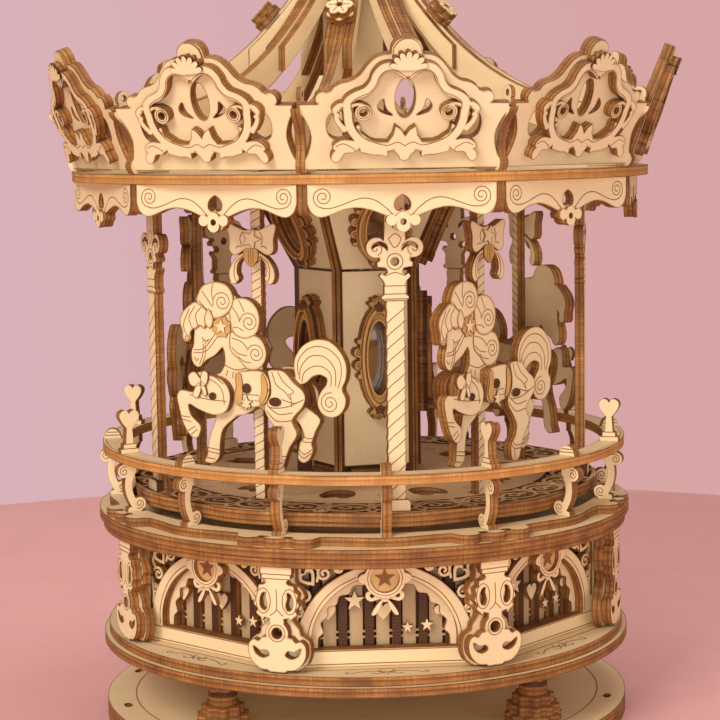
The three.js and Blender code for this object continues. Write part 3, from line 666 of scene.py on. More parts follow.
def pole_mesh():
    half = 1.75
    shaft = sheet([scalloped(half, POLE_LOW, POLE_HIGH, 2.7, 0.25)], scorch=0.3)
    lines = twist_lines(half, POLE_LOW + 1, POLE_HIGH - 9, 2.7, 1.9)
    wing, tail = smooth(BOW_WING, 3), smooth(BOW_TAIL, 3)
    bow = sheet([wing, flip(wing), tail, flip(tail)])
    knot = blob([(0, 75.6), (1.9, 75.4), (2.6, 74.2), (2.2, 71.8), (0, 69.8), (-2.2, 71.8), (-2.6, 74.2),
        (-1.9, 75.4)], 3)
    points = star(0, 78.4, 3.6, 5, 0.5, 0)
    creases = [smooth([(3.4, 76), (4.6, 76.2), (5.2, 75.6)]), smooth([(3, 80.6), (3.9, 78.6), (3.4, 76.6)]),
        smooth([(3, 73.2), (5.6, 71), (6.2, 67.6), (5.6, 65.4)])]
    creases += [flip(c) for c in creases]
    back_lines = engrave([flip(p) for p in lines], 0.28)
    back = Matrix.Rotation(math.pi, 4, "Y") @ Matrix.Translation((0, 0, PLY / 2))
    knot_lines = engrave([[(-0.8, 75), (-0.8, 71)], [(0.8, 75), (0.8, 71)], [(0, 75.2), (0, 70.4)]], 0.25)
    return stack(
        (shaft, -PLY / 2), (engrave(lines, 0.28), PLY / 2), (back_lines, back), (bow, PLY / 2),
        (sheet([knot], thick=0.5, scorch=0.3, faces=(4, 3)), 1.5 * PLY),
        (sheet([points], thick=0.4, scorch=0.7, faces=(0, 3)), 1.5 * PLY),
        (engrave(creases, 0.28), 1.5 * PLY + 0.02), (knot_lines, 1.5 * PLY + 0.5),
    )


def in_rider(k):
    """A horse's own frame: x along the horse, y up, z out of its near side, the pole at the middle."""
    return facing(horse_turn(k), TRACK_R, HORSE_ZERO, twist=HORSE_TILT)


HORSE_FINISH = (pale, edge, ink, char, amber)
horse_shape, pole_shape = horse_mesh(), pole_mesh()
for k in range(HORSES):
    body = f"horse_{k + 1}"
    piece(f"horse_boards_{k + 1}", horse_shape, in_rider(k), body, HORSE_FINISH, stands_for=(f"horse_{k + 1}",))
    piece(f"pole_with_bow_{k + 1}", pole_shape, in_rider(k), body, (upright_pale, edge, ink, char, amber),
        stands_for=(f"pole_{k + 1}",))
print("a horse has", len(horse_shape.polygons), "faces, a pole", len(pole_shape.polygons))

# %% [markdown]
# The columns reach up to the canopy ring and stand on the deck. One board deep, they carry a scroll
# capital with a round medallion, a collar, and a twisted shaft.

# %% Columns
RING_LOW, RING = low("canopy_ring"), high("canopy_ring")
RIM_R, RIM_OPENING_R = 95, 50
COLUMN_BACK = math.hypot(column_at.x, column_at.y) / MM - PLY / 2


def column_mesh():
    foot = DECK - RING_LOW
    half = [(3.4, -35.4), (4.1, -34.9), (4.1, -34.1), (3.3, -33.6), (3.3, -31), (3.1, -30.6), (3.6, -29.4),
        (4.7, -28.2), (4.2, -27.2), (3.2, -27.8), (2.2, -27)]
    top_half = [(3.1, -14), (3.1, 0)]
    shaft = scalloped(2.85, foot, -35, 4.0, 0.4)
    head = both([(0, -35.4)] + half + [(2.6, -25.6), (5.3, -25.2), (5.4, -24), (4, -23), (3.3, -22),
        (4.4, -21.6), (3.4, -20)] + top_half)
    scroll = circle(5.6, -19.5, 3.1, 20)
    slit = smooth([(2.1, -20.6), (2.4, -18.9), (4.4, -17.7), (6.6, -18.6), (6.9, -20), (5.9, -19.2),
        (4.3, -18.9), (3, -19.6)], 3)
    tip = circle(3.6, -22.6, 1.1, 10)
    medallion = circle(0, -23.7, 3.5, 20)
    outlines = [shaft, head, scroll, flip(scroll), medallion, tip, flip(tip)]
    holes = [circle(0, -23.7, 1.25, 12), slit, flip(slit)]
    board = sheet(outlines, holes, scorch=0.4)
    lines = twist_lines(2.9, foot + 1, -34.6, 4.0, 5.2) + [circle(0, -23.7, 2.4, 16) + [(2.4, -23.7)]]
    lines += [[(-3.2, -33.4), (3.2, -33.4)], [(-3.2, -31), (3.2, -31)], [(-3.9, -34.9), (3.9, -34.9)],
        smooth([(-3, -28), (0, -27), (3, -28)])]
    lines += [spiral(5.8, -19.8, 2.2, 0.4, 250, -1.2), flip(spiral(5.8, -19.8, 2.2, 0.4, 250, -1.2))]
    lines += [smooth([(-1.9, -17), (0, -15.4), (1.9, -17), (0, -19.6), (-1.9, -17)])]
    base = sheet([both([(0, foot), (3.8, foot), (3.8, foot + 2.6), (3, foot + 3.4)])], thick=PLY + 2.4,
        scorch=0.2)
    return stack((board, 0), (engrave(lines, 0.3), PLY), (base, -1.2))


column_shape = column_mesh()
for k in range(HORSES):
    at = facing(REST + 72 * k, COLUMN_BACK, RING_LOW)
    piece(f"column_boards_{k + 1}", column_shape, at, "carousel", (upright_pale, edge, ink),
        stands_for=(f"column_{k + 1}",))

# %% [markdown]
# The canopy: a ring whose rim shows the plies, ten scalloped valance boards below it with two scrolls and a wave
# engraved on each, and ten leaning crown boards above, each with a raised cartouche.

# %% Valance and canopy ring
APOTHEM = 90.4
VALANCE_BACK = APOTHEM - PLY
STEP = 360 / CROWNS
PANEL_TAN = math.tan(math.pi / CROWNS)


def ring_sheet(outer, inner, steps=160, thick=PLY, **more):
    return sheet([circle(0, 0, outer, steps)], [circle(0, 0, inner, max(24, steps * 3 // 4))], thick=thick,
        **more)


def valance_mesh():
    half = VALANCE_BACK * PANEL_TAN - 0.6
    edge_curve = [(half, 0), (half, -5.6), (half - 1.0, -8), (half - 3.2, -9.5), (half - 6, -9.2), (17.1, -7.5),
        (13, -7), (8.7, -7.9), (4.4, -9.6)]
    lobes = [(4.9, -10.6), (4.3, -11.7), (3.2, -11.9), (2.7, -12.9), (1.4, -13.7), (0, -13.9)]
    side = [edge_curve[0]] + smooth(edge_curve[1:], 4) + smooth(lobes, 3)
    outline = side + [p for p in flip(side) if abs(p[0]) > 1e-6]
    leaf = smooth([(0, -3.3), (1.5, -4.2), (2.4, -5.8), (2.1, -7.4), (0.8, -7.9), (0, -7.2)], 3)
    holes = [leaf + flip(leaf)[1:-1], circle(0, -11.1, 0.95, 10)]
    wave = smooth([(23.4, -6.9), (21.2, -7), (18.1, -6.2), (12.6, -4.3), (8.6, -4.6), (5.4, -6.6), (3, -8.9)])
    scroll = spiral(23.2, -3.8, 3.1, 0.5, 270, 2.1, 12)
    lines = [wave, flip(wave), scroll, flip(scroll)]
    board = sheet([outline], holes)
    drop = sheet([circle(3.4, -10.6, 1.7, 12), circle(-3.4, -10.6, 1.7, 12), circle(0, -12, 2.1, 14),
        circle(0, -10.4, 2.3, 14)], [circle(0, -11.1, 0.95, 10)], thick=1.2, scorch=0.15)
    return stack((board, 0), (engrave(lines, 0.3), PLY), (drop, PLY))


def valance_joint_mesh():
    """Two boards on edge between neighbouring valance boards, seen as a striped strip."""
    r = VALANCE_BACK / math.cos(math.pi / CROWNS)
    shape = [(r - 9, 0), (r - 9, -5), (r - 4, -6)] + arc(r - 0.6, -6.6, 2.6, 220, 350, 6) + [(r + 2.2, 0)]
    return stack((sheet([shape], thick=1.45, scorch=0.2), 0), (sheet([shape], thick=1.45, scorch=0.2), 1.6))


valance_shape = valance_mesh()
joint_shape = valance_joint_mesh()
rim = stack((sheet([circle(0, 0, RIM_R, 160)], [circle(0, 0, RIM_OPENING_R,
    120)] + pole_squares(POLE_OPENING / 2)), 0))
spokes = stack((sheet([circle(0, 0, 11, 24)] + [move([(-6, 8), (6, 8), (6, 52), (-6, 52)], 0, 0, 72 * k + 180)
    for k in range(HORSES)], [circle(0, 0, 3.3, 16)], scorch=0.2), 0))
piece("canopy_rim", rim, lying(RING_LOW, REST), "carousel", (pale, lit_rim_edge, ink), copies=False)
piece("canopy_spokes", spokes, lying(RING_LOW, REST), "carousel", BOARD, stands_for=("canopy_ring",),
    copies=False)
for k in range(CROWNS):
    piece(f"valance_board_{k + 1}", valance_shape, facing(REST + STEP * k, VALANCE_BACK, RING_LOW), "carousel",
        BOARD, stands_for=("valance",) if k == 0 else ())
    piece(f"valance_joint_{k + 1}", joint_shape, on_edge(REST + STEP * (k + 0.5), RING_LOW, 3.05), "carousel",
        BOARD)

# %% [markdown]
# A crown board has a plain frieze below and a lobed cartouche above. The cartouche is a second board: a bent
# band that follows the lobes, two volutes, a shell of seven petals at the top and leaves at its lower corners.

# %% Crown
CROWN_LEAN = 19.4
LEAN_SIN = math.sin(math.radians(CROWN_LEAN))
FRIEZE = 19.5
CROWN_FOOT = RING + 0.15 + 2 * PLY * LEAN_SIN
BAND = [(0, 28.7), (2.2, 30.4), (4.8, 31.4), (7.2, 30.9), (8.9, 28.9), (9.7, 26.6), (11.6, 24.3), (14.8, 22.9),
    (17, 21), (16.7, 18), (16.4, 15.4), (15.2, 12.4), (12.6, 9.7), (9, 8.2), (5.4, 7.4), (2.4, 8.4), (0, 7.2)]
BRIM = [(25.2, 19.6), (24.4, 22.6), (21.6, 23.4), (20.6, 24.6), (18.6, 25.8), (15.8, 26.5), (13.3, 28.2),
    (11.4, 30.8), (9.3, 33), (6.8, 34.1), (4.7, 34.3), (4.5, 36), (3.4, 38), (1.6, 38.9), (0, 39.1)]


def crown_half(v):
    return (VALANCE_BACK + v * LEAN_SIN) * PANEL_TAN - 0.1


def crown_mesh():
    notch = smooth([(crown_half(3), 2.6), (crown_half(5) - 1.4, 5), (crown_half(10) - 2.7, 10),
        (crown_half(15) - 1.6, 14.6), (crown_half(17), 17)], 3)
    side = [(crown_half(0), 0)] + notch + [(crown_half(19), FRIEZE)] + smooth(BRIM, 3)
    outline = side + [p for p in flip(side) if abs(p[0]) > 1e-6]
    window = blob([(22.4, 13.6), (21.6, 16.4), (19, 17.6), (16.2, 16), (14.4, 13), (15.6, 10.2), (18.4, 8.9),
        (21.4, 10.2)], 3)
    moon = blob([(6.3, 21), (7.7, 19.4), (7.6, 18), (6.3, 16.9), (3.4, 16.1), (5.1, 17.7), (5.8, 19.2)], 3)
    oval = circle(0, 21.2, 2.95, 22, 5.8)
    knob = circle(23.6, 21.2, 2.2, 16)
    back = sheet([outline, knob, flip(knob)], [oval, window, flip(window), moon, flip(moon)])
    path = smooth(BAND, 4)
    band = line(path, 2.7, caps=False)
    filled = []
    for quad in band:
        filled += [quad, flip(quad)]
    volute = circle(12.3, 18, 2.5, 18)
    volute_arm = line(smooth([(16.4, 19.5), (14.6, 20.4), (12.3, 20.2), (10.4, 18.4)]), 1.2, 0.8)
    curl_line = line(smooth([(17.6, 13), (19.6, 15.6), (20.2, 18.2), (19.2, 19.4)]), 1.8, 1.3)
    leaves = [blob(p, 3) for p in ([(12.6, 8.6), (15, 9.8), (18.4, 10), (20.6, 8.4), (20.2, 6.8), (17, 7.3),
        (14, 6.6)], [(15, 7.4), (18.4, 7.8), (20.6, 6.4), (21.2, 4.2), (19.8, 3), (18.4, 4), (17.2, 5.9),
        (14.6, 6)])]
    bottom = both([(0, 3.4), (1.3, 3.8), (1.8, 5), (3.2, 6.6), (4.8, 6.4), (4.9, 4.6), (6.6, 5.2), (9, 5.2),
        (12.8, 6.2), (13.2, 8.6), (9, 9.4), (5, 9.2), (3.6, 11.2), (2.9, 13.9), (1.2, 12.8), (0, 10.9)])
    horn = [blob([(10.6, 7.6), (12.6, 11.4), (14.4, 13.8), (13.2, 14.4), (12.8, 12.2), (11.6, 11.2), (9, 9)],
        2)]
    curls = line(smooth([(19.6, 17.2), (20.6, 18.8), (19, 20.3), (16.6, 20)]), 1.6)
    shapes = filled + [bottom, volute]
    shapes += volute_arm + curl_line + leaves + horn + curls
    shapes += [flip(s) for s in [volute] + volute_arm + curl_line + leaves + horn + curls]
    holes = [circle(12.3, 18, 1.15, 12), circle(-12.3, 18, 1.15, 12)]
    front = sheet(shapes, holes)
    petals = []
    for i in range(7):
        angle = 90 + (i - 3) * 24
        petals.append(move(blob([(0, 0), (3.4, -0.75), (5, -0.8), (5.7, 0), (5, 0.8), (3.4, 0.75)], 2), 0, 30.4,
            angle))
    lobe = sheet([circle(0, 34.8, 4.1, 24)], thick=0.8, scorch=0.3)
    shell = sheet(petals, thick=PLY + 0.8, scorch=0.22)
    inner = move(path, 0, 0, 0, 0.93)
    lines = [move(inner, 0, 1.3), flip(move(inner, 0, 1.3))]
    lines += [circle(12.3, 18, 1.8, 14) + [(14.1, 18)], circle(-12.3, 18, 1.8, 14) + [(-10.5, 18)]]
    lines += [smooth([(14.6, 7.2), (17.6, 8.8), (19.8, 8)]), smooth([(-14.6, 7.2), (-17.6, 8.8), (-19.8, 8)])]
    return stack((back, 0), (front, PLY), (lobe, PLY), (shell, PLY), (engrave(lines, 0.26), 2 * PLY))


crown_shape = crown_mesh()
for k in range(CROWNS):
    at = facing(REST + STEP * k, VALANCE_BACK, CROWN_FOOT, lean=CROWN_LEAN)
    piece(f"crown_board_{k + 1}", crown_shape, at, "carousel", BOARD, stands_for=(f"crown_panel_{k + 1}",))
print("a crown board has", len(crown_shape.polygons), "faces")

# %% [markdown]
# The roof: ten ribs rise from the crown's joints to the collar. A rib is three boards thick, its middle board the
# longest, and it shows its stripes to the front. A flower sits on every second rib, and a small curl stands where
# a rib passes between two crown boards.

# %% Roof
ROOF_TOP = high("roof_frame") - RING
RIB_FOOT = VALANCE_BACK / math.cos(math.pi / CROWNS)
COLLAR_R = 12


def rib_height(r):
    reach = (RIB_FOOT - r) / (RIB_FOOT - COLLAR_R + 2)
    return FRIEZE + (ROOF_TOP - FRIEZE) * 0.42 * (reach**2 + reach**3)


def rib_band(top_drop, depth, foot):
    """A band under the rib's curve, from the collar to its foot."""
    radii = [COLLAR_R - 1 + (RIB_FOOT - 6 - COLLAR_R) * i / 16 for i in range(17)]
    upper = [(r, rib_height(r) - top_drop) for r in radii]
    lower = [(r, rib_height(r) - depth * (1 + 0.5 * (COLLAR_R / r) ** 2)) for r in radii]
    return upper + foot + lower[::-1]


def rib_mesh():
    r = RIB_FOOT
    foot = [(r + 0.5, FRIEZE - 1.6), (r + 5.8, FRIEZE - 1.5), (r + 3.2, 9), (r + 1.4, 0.3), (r - 10, 0.3),
        (r - 11, 6)]
    core = sheet([rib_band(0, 10.5, foot)])
    radii = [COLLAR_R - 1 + 3.2 * i for i in range(9)]
    flank = [(x, rib_height(x) - 1.4) for x in radii] + [(x, rib_height(x) - 9) for x in radii[::-1]]
    return stack((core, 0), (sheet([flank], scorch=0.3), PLY), (sheet([flank], scorch=0.3), -PLY))


def joint_rib_mesh():
    """The striped strip seen in the gap between two crown boards, with its curl on top."""
    r = RIB_FOOT + 0.8

    def lean_at(v, out=0.0):
        return (r + v * 0.352 + out, v)

    side = smooth([lean_at(0.2, 2.4), lean_at(2.5, 2.8), lean_at(6, 0.2), lean_at(10, -0.6), lean_at(14, 0.4),
        lean_at(17, 2.8), lean_at(18.6, 2.8)], 3)
    back = [lean_at(18.6, -5), lean_at(0.2, -5)]
    curl = [circle(*lean_at(22.4, -2.4), 2.4, 16), [lean_at(17, -5), lean_at(17, 1.6), lean_at(21, 0),
        lean_at(21, -5)]]
    hole = [circle(*lean_at(22.6, -2.4), 1.0, 10)]
    outline = side + back
    return stack((sheet([outline] + curl, hole, thick=1.3, scorch=0.2), 0),
        (sheet([outline], thick=1.3, scorch=0.2), 1.45))


def flower_mesh():
    petals = [move(blob([(0.6, -0.8), (3.2, -1.7), (4.6, 0), (3.2, 1.7), (0.6, 0.8)], 3), 0, 0, 60 * i)
        for i in range(6)]
    lines = [move([(1.6, 0), (3.4, 0)], 0, 0, 60 * i) for i in range(6)]
    base = [move(blob([(0.6, -0.8), (3.4, -1.9), (5, 0), (3.4, 1.9), (0.6, 0.8)], 3), 0, 0, 60 * i + 30)
        for i in range(6)]
    return stack((sheet(base, [circle(0, 0, 0.7, 8)], thick=2.4), 0),
        (sheet(petals, [circle(0, 0, 0.9, 10)], thick=2.4), 2.4), (engrave(lines, 0.3), 4.8))


rib_shape, joint_rib_shape, flower_shape = rib_mesh(), joint_rib_mesh(), flower_mesh()
FLOWER_R = 29
FLOWER_LEAN = 90 - math.degrees(math.atan((rib_height(FLOWER_R - 3) - rib_height(FLOWER_R + 3)) / 6))
for k in range(CROWNS):
    angle = REST + STEP * (k + 0.5)
    piece(f"roof_rib_{k + 1}", rib_shape, on_edge(angle, RING), "carousel", BOARD, ("roof_frame",)
        if k == 0 else ())
    piece(f"crown_joint_{k + 1}", joint_rib_shape, on_edge(angle, RING, 2.75), "carousel", BOARD)
    if k % 2:
        at = facing(angle, FLOWER_R, RING + rib_height(FLOWER_R) + 0.4, lean=-FLOWER_LEAN)
        piece(f"roof_flower_{k // 2 + 1}", flower_shape, at, "carousel", BOARD)
core_half = 7.4 * math.tan(math.pi / HORSES)
core_board = stack((sheet([[(-core_half, 0), (core_half, 0), (core_half, ROOF_TOP - 1),
    (-core_half, ROOF_TOP - 1)]], scorch=0.4), 0))
for k in range(HORSES):
    piece(f"roof_core_{k + 1}", core_board, facing(REST + 72 * k + 9, 7.4, RING), "carousel",
        (upright_pale, edge, ink))
collar = stack(
    (ring_sheet(COLLAR_R + 1.5, 3.4, 48), ROOF_TOP - PLY - 0.2),
    (ring_sheet(COLLAR_R, 3.4, 40), ROOF_TOP - 2 * PLY),
    (ring_sheet(COLLAR_R, 3.4, 40), ROOF_TOP - 8 * PLY),
    (ring_sheet(COLLAR_R - 3, 3.4, 40, thick=5 * PLY, scorch=0), ROOF_TOP - 7 * PLY),
)
piece("roof_collar", collar, lying(RING, REST), "carousel", BOARD, copies=False)

# %% Finial
FINIAL_LOW = low("finial")
FINIAL_TALL = high("finial") - FINIAL_LOW


def scalloped_disc(r, lobes, depth, turned=0.0):
    n = lobes * 6
    out = []
    for i in range(n):
        a = 2 * math.pi * i / n
        wavy_r = r - depth * (1 - math.cos(lobes * a)) / 2
        out.append((wavy_r * math.cos(a + turned), wavy_r * math.sin(a + turned)))
    return out


bud = both(smooth([(0, 0), (7, 0), (6.6, 2.4), (3.2, 4.2), (2.6, 7), (5.6, 10.4), (7.4, 14), (5.8, 17.6),
    (2.2, 20), (1.4, 21.6), (0, FINIAL_TALL - PLY)], 3))
finial_disc = stack((sheet([scalloped_disc(14, 10, 1.2)], [circle(0, 0, 1.5, 10)]), 0))
piece("finial_disc", finial_disc, lying(FINIAL_LOW, REST), "carousel", BOARD, stands_for=("finial",),
    copies=False)
for k, angle in enumerate((0, 90)):
    board = stack((sheet([bud]), -PLY / 2), (engrave([spiral(3.4, 13.4, 2.2, 0.4, 0, 1.6),
        spiral(-3.4, 13.4, 2.2, 0.4, 180, -1.6)]), PLY / 2))
    at = Matrix.Translation((0, 0, 0)) @ facing(REST + angle, 0, FINIAL_LOW + PLY)
    piece(f"finial_bud_{k + 1}", board, at, "carousel", BOARD, copies=False)

# %% [markdown]
# The mirrored tower has five upright boards and five flaring ones. Between them, pairs of boards on edge show as
# dark stripes. Each board carries an oval mirror in a frame that the laser has carved to amber.

# %% Tower
TOWER_TURN = 6.5
TOWER_R = 22.0
FLARE_R = 38.0
FLARE_TALL = 30.0
SHAFT_TOP = RING_LOW - FLARE_TALL
TOWER_APOTHEM = TOWER_R * math.cos(math.pi / HORSES)
FLARE_APOTHEM = FLARE_R * math.cos(math.pi / HORSES)
FLARE_LEAN = math.degrees(math.atan2(FLARE_APOTHEM - TOWER_APOTHEM, FLARE_TALL))
FLARE_SLOPE = math.hypot(FLARE_APOTHEM - TOWER_APOTHEM, FLARE_TALL)
FACE_TAN = math.tan(math.pi / HORSES)
MIRROR_Z = 40.4  # above the deck


def carved_frame(rx, ry, hole_x, hole_y, crest, deep):
    """An oval frame with a crest above and below, and a pair of curls on each side."""
    shapes = [circle(0, 0, rx, 30, ry)]
    for up in (1, -1):
        for i in range(5):
            angle = 90 + (i - 2) * 34
            shapes.append([(x, up * (y + ry - 0.4)) for x,
                y in move(blob([(0, -0.7), (crest * 0.7, -0.9), (crest, 0), (crest * 0.7, 0.9), (0, 0.7)], 2),
                0, 0, angle)])
        shapes.append([(x, up * (y + ry - 0.6)) for x, y in circle(0, 0, crest * 0.62, 12)])
    for side in (1, -1):
        shapes += [circle(side * (rx + 0.3), 2.0, 1.7, 12), circle(side * (rx + 0.1), -2.2, 1.7, 12),
            circle(side * (rx - 0.2), 5.6, 1.0, 8), circle(side * (rx - 0.2), -5.8, 1.0, 8)]
    hole = [circle(0, 0, hole_x, 28, hole_y)]
    under = sheet(shapes, hole, thick=deep, scorch=0.6)
    ridge = sheet([circle(0, 0, rx - 0.5, 30, ry - 0.7)], [circle(0, 0, rx - 1.7, 28, ry - 2.4)], thick=1.4,
        scorch=0.45)
    lip = sheet([circle(0, 0, hole_x + 0.8, 28, hole_y + 0.9)], hole, thick=0.7, scorch=0.2)
    knobs = [circle(0, up * (ry - 0.6), crest * 0.4, 10) for up in (1, -1)]
    boss = sheet(knobs + [star(0, up * (ry - 0.6), crest * 0.55) for up in (1, -1)], thick=1.6, scorch=0.2,
        faces=(3, 3))
    lines = []
    for side in (1, -1):
        lines += [spiral(side * (rx + 0.3), 2.0, 1.1, 0.2, 90, side * 1.4, 8),
            spiral(side * (rx + 0.1), -2.2, 1.1, 0.2, 270, -side * 1.4, 8)]
    for up in (1, -1):
        for i in (-1, 0, 1):
            lines.append([(x, up * (y + ry - 0.4)) for x,
                y in move([(crest * 0.5, 0), (crest * 0.85, 0)], 0, 0, 90 + i * 34)])
    return [(under, 0), (ridge, deep), (lip, deep), (boss, deep), (engrave(lines, 0.3, finish=3), deep)]


def at_height(layers, lift):
    return [(board, Matrix.Translation((0, lift, z))) for board, z in layers]


def tower_mesh():
    half = TOWER_APOTHEM * FACE_TAN - 1.9
    tall = SHAFT_TOP - DECK
    mirror_hole = circle(0, MIRROR_Z, 3.8, 28, 12.4)
    board = sheet([[(-half, 4.6), (half, 4.6), (half, tall - 0.3), (-half, tall - 0.3)]], [mirror_hole])
    sole = sheet([[(-half + 3, 0), (half - 3, 0), (half - 3, 5), (-half + 3, 5)]], thick=2, scorch=0,
        faces=(1, 1))
    return board, sole, tall, half


def mirror_finish(name):
    f = Finish(name)
    f.set(Base_Color=(0.78, 0.76, 0.7, 1), Metallic=1.0, Roughness=f.noise(f.node("ShaderNodeTexCoord", (), 3),
        80.0) * 0.04 + 0.04)
    return f.material


mirror = mirror_finish("mirror")
shaft_board, shaft_sole, shaft_tall, _ = tower_mesh()
shaft_shape = stack((shaft_board, -PLY), (shaft_sole, -PLY - 2))
shaft_frame = stack(*at_height(carved_frame(6.6, 17.2, 3.7, 12.2, 3.6, 4.2), MIRROR_Z))
shaft_mirror = stack((sheet([circle(0, MIRROR_Z, 5, 28, 15)], thick=0.6, scorch=0, faces=(0, 0)), -PLY - 0.7))
low_half, top_half = TOWER_APOTHEM * FACE_TAN - 1.9, FLARE_APOTHEM * FACE_TAN - 1.9
FLARE_MIRROR = FLARE_SLOPE * 0.52
flare_shape = stack((sheet([[(-low_half, 0.4), (low_half, 0.4), (top_half, FLARE_SLOPE - 1.6),
    (-top_half, FLARE_SLOPE - 1.6)]], [circle(0, FLARE_MIRROR, 5, 26, 9.4)]), -PLY))
flare_frame = stack(*at_height(carved_frame(8.6, 12.8, 5, 9.4, 3.0, 3.4), FLARE_MIRROR))
flare_mirror = stack((sheet([circle(0, FLARE_MIRROR, 6.5, 26, 11)], thick=0.6, scorch=0, faces=(0, 0)),
    -PLY - 0.7))
stripe = [(TOWER_R - 4.4, 0), (TOWER_R + 0.4, 0), (TOWER_R + 0.4, shaft_tall),
    (FLARE_R + 0.6, RING_LOW - DECK - 0.2), (FLARE_R - 5, RING_LOW - DECK - 0.2),
    (TOWER_R - 4.4, shaft_tall + 3)]
stripe_shape = stack((sheet([stripe], thick=1.3, scorch=0), 0), (sheet([stripe], thick=1.3, scorch=0), 1.6))
for k in range(HORSES):
    angle = REST + TOWER_TURN + 72 * k
    upright_at = facing(angle, TOWER_APOTHEM, DECK)
    flare_at = facing(angle, TOWER_APOTHEM, SHAFT_TOP, lean=FLARE_LEAN)
    piece(f"tower_board_{k + 1}", shaft_shape, upright_at, "carousel", (upright_pale, edge, ink),
        stands_for=("tower",) if k == 0 else ())
    piece(f"tower_frame_{k + 1}", shaft_frame, upright_at, "carousel", (amber, edge, ink, char))
    piece(f"tower_mirror_{k + 1}", shaft_mirror, upright_at, "carousel", (mirror,))
    piece(f"flare_board_{k + 1}", flare_shape, flare_at, "carousel", (upright_pale, edge, ink))
    piece(f"flare_frame_{k + 1}", flare_frame, flare_at, "carousel", (amber, edge, ink, char))
    piece(f"flare_mirror_{k + 1}", flare_mirror, flare_at, "carousel", (mirror,))
    piece(f"tower_stripe_{k + 1}", stripe_shape, on_edge(angle + 36, DECK, 2.9), "carousel", BOARD)

# %% [markdown]
# The deck turns with the horses. It is two boards: a lobed disc, cut through with ovals and scrolls near its rim,
# on a plain dark disc whose colour is painted shade in the openings.

# %% Deck
DECK_R = 78.6
# Dark wood for the feet and the disc under the deck: painted shade under the drum floor and in the deck's
# openings.
painted_shade_wood = wood_face("underside_wood_painted_shade", (0.45, 0.24, 0.09), (0.24, 0.1, 0.035))


def polar(radius_at, steps):
    return [(radius_at(a) * math.sin(math.radians(a)), -radius_at(a) * math.cos(math.radians(a)))
        for a in (360 * i / steps for i in range(steps))]


def deck_boards():
    """Near the rim ten long openings hold rings and scrolls; a wheel of openings lies further in."""
    holes = [circle(0, 0, 3.4, 16)]
    islands, lines = [], []
    for k in range(CROWNS):
        angle = 36 * k
        far = [(76.6, angle - 17.2 + 2.45 * i) for i in range(15)]
        near = [(61.5, angle + 17 - 4.85 * i) for i in range(8)]
        slot = [(r * math.sin(math.radians(a)), -r * math.cos(math.radians(a))) for r, a in far + near]
        holes.append(slot)
        for j in range(3):
            offset = 11.6 * (j - 1)
            ring_lines = line(circle(0, 0, 6.7, 22, 5.6) + [(6.7, 0)], 1.5, caps=False)
            ring_lines += line(spiral(-1.6, 0, 3.6, 0.9, 200, 1.1, 8), 1.4) + [circle(2.9, 0, 1.5, 10)]
            ring_lines += line([(-5.6, -3.4), (-7, -6.4)], 1.4)
            ring_lines += line([(5.6, -3.4), (7, -6.4)], 1.4)
            ring_lines += line([(-5.6, 3.4), (-7.4, 6.6)], 1.4)
            ring_lines += line([(5.6, 3.4), (7.4, 6.6)], 1.4)
            islands += [about_axis(s, 69.2, angle + offset) for s in ring_lines]
        for offset in (-5.8, 5.8, -17, 17):
            islands.append(about_axis(circle(0, 0, 1.5, 10), 69.2, angle + offset))
        petal = blob([(-4, -7), (0, -9), (4, -7), (5.6, 0), (3.4, 5), (0, 3.4), (-3.4, 5), (-5.6, 0)], 3)
        holes.append(about_axis(petal, 48, angle + 18))
        lines.append(about_axis(arc(0, 0, 5, 20, 160, 8), 55, angle))
        lines.append(about_axis(spiral(0, 0, 3.2, 0.6, 0, 1.4, 8), 49, angle))
    holes += pole_squares(POLE_OPENING / 2)
    rim = polar(lambda a: DECK_R - 0.9 + 0.9 * math.cos(math.radians(10 * a)), 180)
    return stack((sheet([rim], holes), 0), (sheet(islands, thick=PLY, scorch=0.25), 0.12),
        (engrave(lines, 0.35), PLY))


# The deck's face is a darker copy of the basswood: painted shade under the canopy and the horses.
deck_face_painted_shade = wood_face("deck_face_painted_shade", (0.66, 0.47, 0.26), (0.46, 0.28, 0.13))
piece("deck_board", deck_boards(), lying(DECK - PLY, REST), "carousel", (deck_face_painted_shade, edge, ink),
    stands_for=("deck",), copies=False)
under_rim = polar(lambda a: DECK_R - 1.6 + 0.9 * math.cos(math.radians(10 * a)), 180)
# a ring outside the cam track, dark as painted shade under the deck's openings
under = stack((sheet([under_rim], [circle(0, 0, TRACK_R + 6, 120)], thick=1.4), 0))
piece("deck_painted_shade_board", under, lying(DECK - PLY - 1.5, REST), "carousel", (painted_shade_wood, edge, ink),
    copies=False)

# %% [markdown]
# The gallery stands on the drum: a wavy trim ring, sixteen scroll brackets and a rail. Every second bracket
# carries on above the rail as a post with a heart, and the others end in a small stepped stub.

# %% Gallery
DRUM_TOP = high("drum_top") - PLY
RAIL_TOP = RING_LOW - 86.0
RAIL_R = 87.4
BRACKETS = 16


def trim_outline(a):
    """The trim ring's outer radius at an angle: a slow wave, and three lobes at each corner of the drum."""
    corner = (a + 22.5 + 22.5) % 45 - 22.5  # angle from the nearest corner
    wave = 84.8 + 0.9 * math.cos(math.radians(16 * corner)) * (abs(corner) > 7)
    if abs(corner) > 8:
        return wave
    return 85.6 + 3.6 * abs(math.cos(math.radians(corner * 90 / 2.9))) ** 0.6


